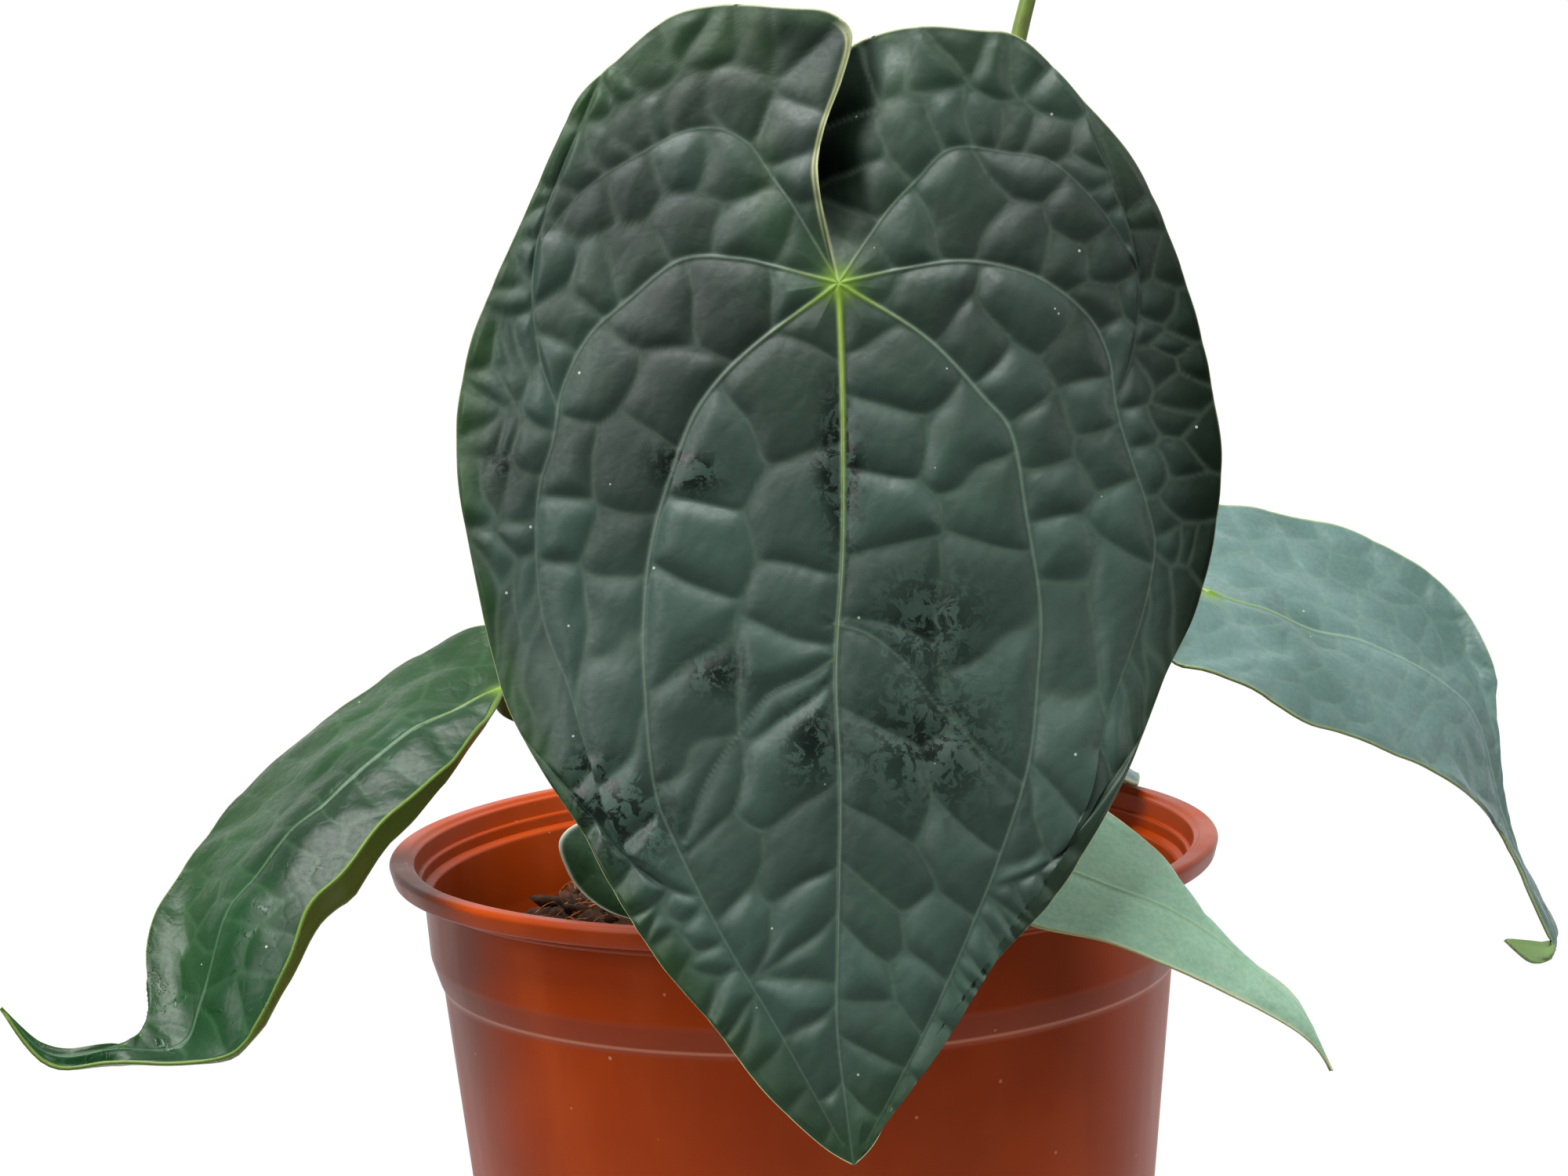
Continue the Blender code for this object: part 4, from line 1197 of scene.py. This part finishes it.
def make_sheaths(finish):
    """Dry pointed sheaths round the stem, ribbed lengthwise."""
    for number, angle in enumerate((108, 146, 184), start=1):
        turn = math.radians(angle)
        outward = np.array([math.cos(turn), math.sin(turn), 0])
        sideways = np.array([-math.sin(turn), math.cos(turn), 0])
        height = 19 + 3 * number
        lines = []
        for side in (-1, 0, 1):
            bow = 0 if side == 0 else -1.6
            low = sideways * 3.4 * side + outward * (bow + 0.8) + [0, 0, 0.3 * height]
            high = sideways * 2.2 * side + outward * (0.5 * bow + 2.6) + [0, 0, 0.7 * height]
            lines.append([np.zeros(3), low, high, outward * 5.5 + [0, 0, height]])
        counts = [14, 14]
        grid = blade_grid(lines, counts, 60)
        ribs = 0.12 * np.sin(columns_across(counts) * 22)[None, :, None]
        grid = grid + outward * (ribs + 0.35 * ripple(grid, 9, number)[..., None])
        look = plain_look(grid, counts, 1, [(20, 20), (20, 20)], 70 + number, relief=0.1, groove=0.1,
                          thickness=0.45, heart_reach=0.5, vein_shown=0.2)  # fmt: skip
        add_leaf(f"cataphyll_{number}", grid, outward, counts, look, finish)


def make_flower(stalk_look, spathe_look, spadix_look):
    """The bare stalk with its small spathe and the pebbled spadix."""
    low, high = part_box("spadix")
    lean = unit(np.array(SPADIX_LEAN))
    length = (high.z - low.z) / lean[2]
    centre = np.array((low + high) / 2)
    foot = centre - lean * length / 2
    base = foot - lean * 0.6 * MM
    start = np.array([2.9 * MM, 10.6 * MM, STALK_START])
    middle = [np.array(point) * MM for point in ((16, 14, 200), (35, 11, 262), (49, 7, 320))]
    shares = np.linspace(0, 1, 170)
    path = along([start - [1 * MM, 4 * MM, 2 * MM], start + [0, 0, MM], *middle, base + lean * MM], shares)
    grid, spokes = tube_grid(path, stalk_radii(shares, 1.65 * MM, 1.3, 1.0), 22)
    grid += spokes * (0.05 * MM * ripple(grid, 5 * MM, 27))[..., None]
    places, faces = capped(grid)
    add_mesh("flower_stalk", places, faces, stalk_look, ["peduncle"])

    shares = np.linspace(0, 1, 230)
    path = foot + shares[:, None] * lean * length
    taper = SPADIX_RADIUS * (1 - 0.45 * shares**3) * np.sqrt(np.clip((1 - shares) / 0.035, 0.02, 1))
    taper *= np.sqrt(np.clip(shares / 0.02, 0.3, 1))
    sides = 64
    grid, spokes = tube_grid(path, taper * 0.93, sides)
    angle = np.linspace(0, math.tau, sides, endpoint=False)[None, :]
    spiral = shares[:, None] * length / (1.15 * MM) * math.pi
    bumps = np.abs(np.sin(spiral + 5 * angle) * np.sin(spiral - 5 * angle)) ** 0.6
    grid += spokes * (bumps * 0.28 * MM * np.clip((1 - shares[:, None]) / 0.05, 0, 1))[..., None]
    places, faces = capped(grid)
    seam = np.append(1 - bumps.ravel(), [0, 0])
    seam = np.clip((seam - 0.45) * 1.8, 0, 1)
    add_mesh("flower_spadix", places, faces, spadix_look, ["spadix"], {"seam": seam})

    counts = [20, 20]
    grid = blade_grid(SPATHE_LINES, counts, 90)
    look = plain_look(grid, counts, 1, [(12, 20), (12, 20)], 81, relief=0.15, groove=0.15, heart_reach=1.5)
    add_leaf("spathe", grid, (0, 0, 1), counts, look, spathe_look)


# Room


def make_floor():
    """A plain pale floor under the pot."""
    shape = bmesh.new()
    bmesh.ops.create_circle(shape, cap_ends=True, segments=128, radius=0.235)
    mesh = bpy.data.meshes.new("floor")
    shape.to_mesh(mesh)
    shape.free()
    floor = bpy.data.objects.new("floor", mesh)
    bpy.context.scene.collection.objects.link(floor)
    made = Finish("pale_floor", roughness=0.7, specular=0.2)
    grain = made.noise(60 * MM, 3)
    colour = made.mix(grain, (0.50, 0.50, 0.49), (0.54, 0.54, 0.53))
    mesh.materials.append(made.finish(colour))


def make_world():
    """White behind the plant and dim towards the front and the sides."""
    world = bpy.data.worlds.new("studio")
    bpy.context.scene.world = world
    world.use_nodes = True
    tree = world.node_tree
    background = tree.nodes["Background"]
    where = tree.nodes.new("ShaderNodeTexCoord")
    split = tree.nodes.new("ShaderNodeSeparateXYZ")
    behind = tree.nodes.new("ShaderNodeMapRange")
    behind.interpolation_type = "SMOOTHSTEP"
    tree.links.new(where.outputs["Generated"], split.inputs[0])
    tree.links.new(split.outputs["Y"], behind.inputs[0])
    for socket, value in zip(behind.inputs[1:5], (0.0, 0.9, 0.12, 1.02)):
        socket.default_value = value
    tree.links.new(behind.outputs[0], background.inputs["Strength"])
    background.inputs["Color"].default_value = (1, 1, 1, 1)


def add_light(name, place, target, size, power, colour=(1, 1, 1)):
    lamp = bpy.data.lights.new(name, "AREA")
    lamp.shape = "RECTANGLE"
    lamp.size, lamp.size_y = size
    lamp.energy = power
    lamp.color = colour
    made = bpy.data.objects.new(name, lamp)
    made.location = place
    toward = Vector(target) - Vector(place)
    made.rotation_euler = toward.to_track_quat("-Z", "Y").to_euler()
    bpy.context.scene.collection.objects.link(made)


def make_lights():
    add_light("overhead", (-0.2, -0.3, 1.15), (0, 0, 0.2), (0.9, 0.7), 23)
    add_light("left_box", (-1.0, -0.8, 0.8), (0, 0, 0.22), (0.6, 0.9), 10)
    add_light("right_fill", (1.1, -0.4, 0.5), (0, 0, 0.2), (0.5, 0.9), 4.5)


def make_camera():
    """A long lens, a little above the leaf, tipped down and very slightly rolled."""
    pitch, roll, yaw = math.radians(7.52), math.radians(-2.09), math.radians(-0.17)
    ahead = Vector((math.sin(yaw) * math.cos(pitch), math.cos(yaw) * math.cos(pitch), -math.sin(pitch)))
    level = Vector((math.cos(yaw), -math.sin(yaw), 0))
    above = level.cross(ahead)
    right = level * math.cos(roll) + above * math.sin(roll)
    up = above * math.cos(roll) - level * math.sin(roll)
    view = bpy.data.cameras.new("camera")
    view.lens = 78.588
    view.sensor_width = 36
    view.clip_start = 0.01
    camera = bpy.data.objects.new("camera", view)
    turn = Matrix((right, up, -ahead)).transposed()
    camera.matrix_world = Matrix.Translation((0, -0.693, 0.3032)) @ turn.to_4x4()
    bpy.context.scene.collection.objects.link(camera)
    bpy.context.scene.camera = camera


def make_plant():
    stalk_look = stalk_finish("stalk_skin", linear(96, 118, 44), linear(120, 128, 52), linear(84, 78, 40))
    velvet = leaf_finish(
        "velvet_leaf",
        (linear(26, 38, 30), linear(36, 56, 44), linear(54, 78, 68)),
        0.5, 0.08, (0.75, 0.9, 1.0),
        linear(112, 130, 114), linear(186, 192, 140), linear(58, 84, 48),
        specular=0.4, net_depth=0.03 * MM,
    )  # fmt: skip
    glossy = leaf_finish(
        "glossy_leaf",
        (linear(10, 42, 18), linear(20, 60, 28), linear(32, 72, 46)),
        0.36, 0.02, (0.8, 0.9, 0.9),
        linear(84, 122, 84), linear(104, 124, 56), linear(92, 116, 46), wet=0.22, specular=0.28,
    )  # fmt: skip
    pale = leaf_finish(
        "pale_leaf",
        (linear(70, 100, 92), linear(92, 122, 116), linear(124, 150, 148)),
        0.44, 0.25, (0.85, 0.95, 1.0),
        linear(136, 164, 138), linear(150, 168, 110), linear(110, 140, 80),
    )  # fmt: skip
    streaked = leaf_finish(
        "streaked_leaf",
        (linear(134, 178, 146), linear(152, 192, 164), linear(168, 204, 180)),
        0.48, 0.08, (0.9, 0.95, 0.9),
        linear(150, 178, 132), linear(196, 198, 150), linear(128, 158, 92), streaks=0.3,
    )  # fmt: skip
    young = leaf_finish(
        "young_leaf",
        (linear(20, 46, 24), linear(30, 60, 34), linear(42, 72, 48)),
        0.45, 0.0, (0.8, 0.9, 0.9),
        linear(88, 118, 80), linear(190, 200, 180), linear(110, 140, 80), specular=0.2,
    )  # fmt: skip
    papery = leaf_finish(
        "papery_sheath",
        (linear(96, 66, 38), linear(128, 92, 56), linear(150, 112, 70)),
        0.75, 0.1, (1, 0.9, 0.8),
        linear(88, 60, 34), linear(160, 124, 82), linear(120, 86, 52),
    )  # fmt: skip
    spathe_look = leaf_finish(
        "spathe_skin",
        (linear(118, 146, 82), linear(134, 160, 92), linear(146, 168, 104)),
        0.42, 0.05, (1, 1, 0.9),
        linear(160, 178, 118), linear(150, 140, 100), linear(130, 152, 88),
    )  # fmt: skip
    bark = rough_finish("bark_chips", linear(52, 34, 22), linear(84, 56, 36), linear(128, 92, 62), 1.2 * MM)
    peat = rough_finish("mix_peat", linear(30, 18, 10), linear(52, 32, 18), linear(92, 60, 34), 1.0 * MM)
    coir = rough_finish(
        "coir_strands", linear(120, 62, 26), linear(176, 104, 48), linear(206, 150, 90), 2.0 * MM
    )
    skin = rough_finish("root_skin", linear(120, 98, 66), linear(150, 126, 88), linear(92, 72, 46), 1.4 * MM)
    stem = rough_finish("stem_skin", linear(74, 62, 34), linear(98, 88, 46), linear(122, 104, 66), 1.3 * MM)

    crumbs = rough_finish("crumbs", linear(44, 27, 15), linear(78, 48, 28), linear(116, 78, 46), 0.9 * MM)

    make_pot(plastic_finish())
    make_mound(peat)
    make_crumbs(crumbs)
    make_strands(coir)
    make_chips(bark)
    make_stem(stem)
    make_roots(skin)
    make_sheaths(papery)
    front = make_front_leaf(velvet)
    left = make_left_leaf(glossy)
    right = make_right_leaf(pale)
    low = make_low_leaf(streaked)
    small = make_small_leaf(young)
    back = make_back_leaf(pale)
    below_hub = front + np.array([0, 1.4, -5]) * MM
    add_stalk("petiole_front", 285, below_hub, (0, -1, 0.15), [(6, -24, 210), (10, -52, 258)], stalk_look)
    add_stalk("petiole_left", 222, left, (-0.35, -0.55, 0.75), [(-28, -10, 182)], stalk_look)
    add_stalk("petiole_right", 15, right, (0.35, -0.5, 0.8), [(36, 12, 182), (70, 26, 194)], stalk_look)
    add_stalk("petiole_lower_right", 325, low, (0.2, -0.55, 0.8), [(19, -26, 165)], stalk_look)
    add_stalk("petiole_small", 252, small, (0, -1, 0.25), [(-24, -14, 164)], stalk_look, 1.1 * MM)
    add_stalk("petiole_back", 38, back, (0.1, 0, 1), [(20, 22, 170)], stalk_look, 1.3 * MM)
    make_flower(stalk_look, spathe_look, spadix_finish())


make_plant()
make_floor()
make_world()
make_lights()
make_camera()
bpy.context.scene.view_settings.view_transform = "Standard"
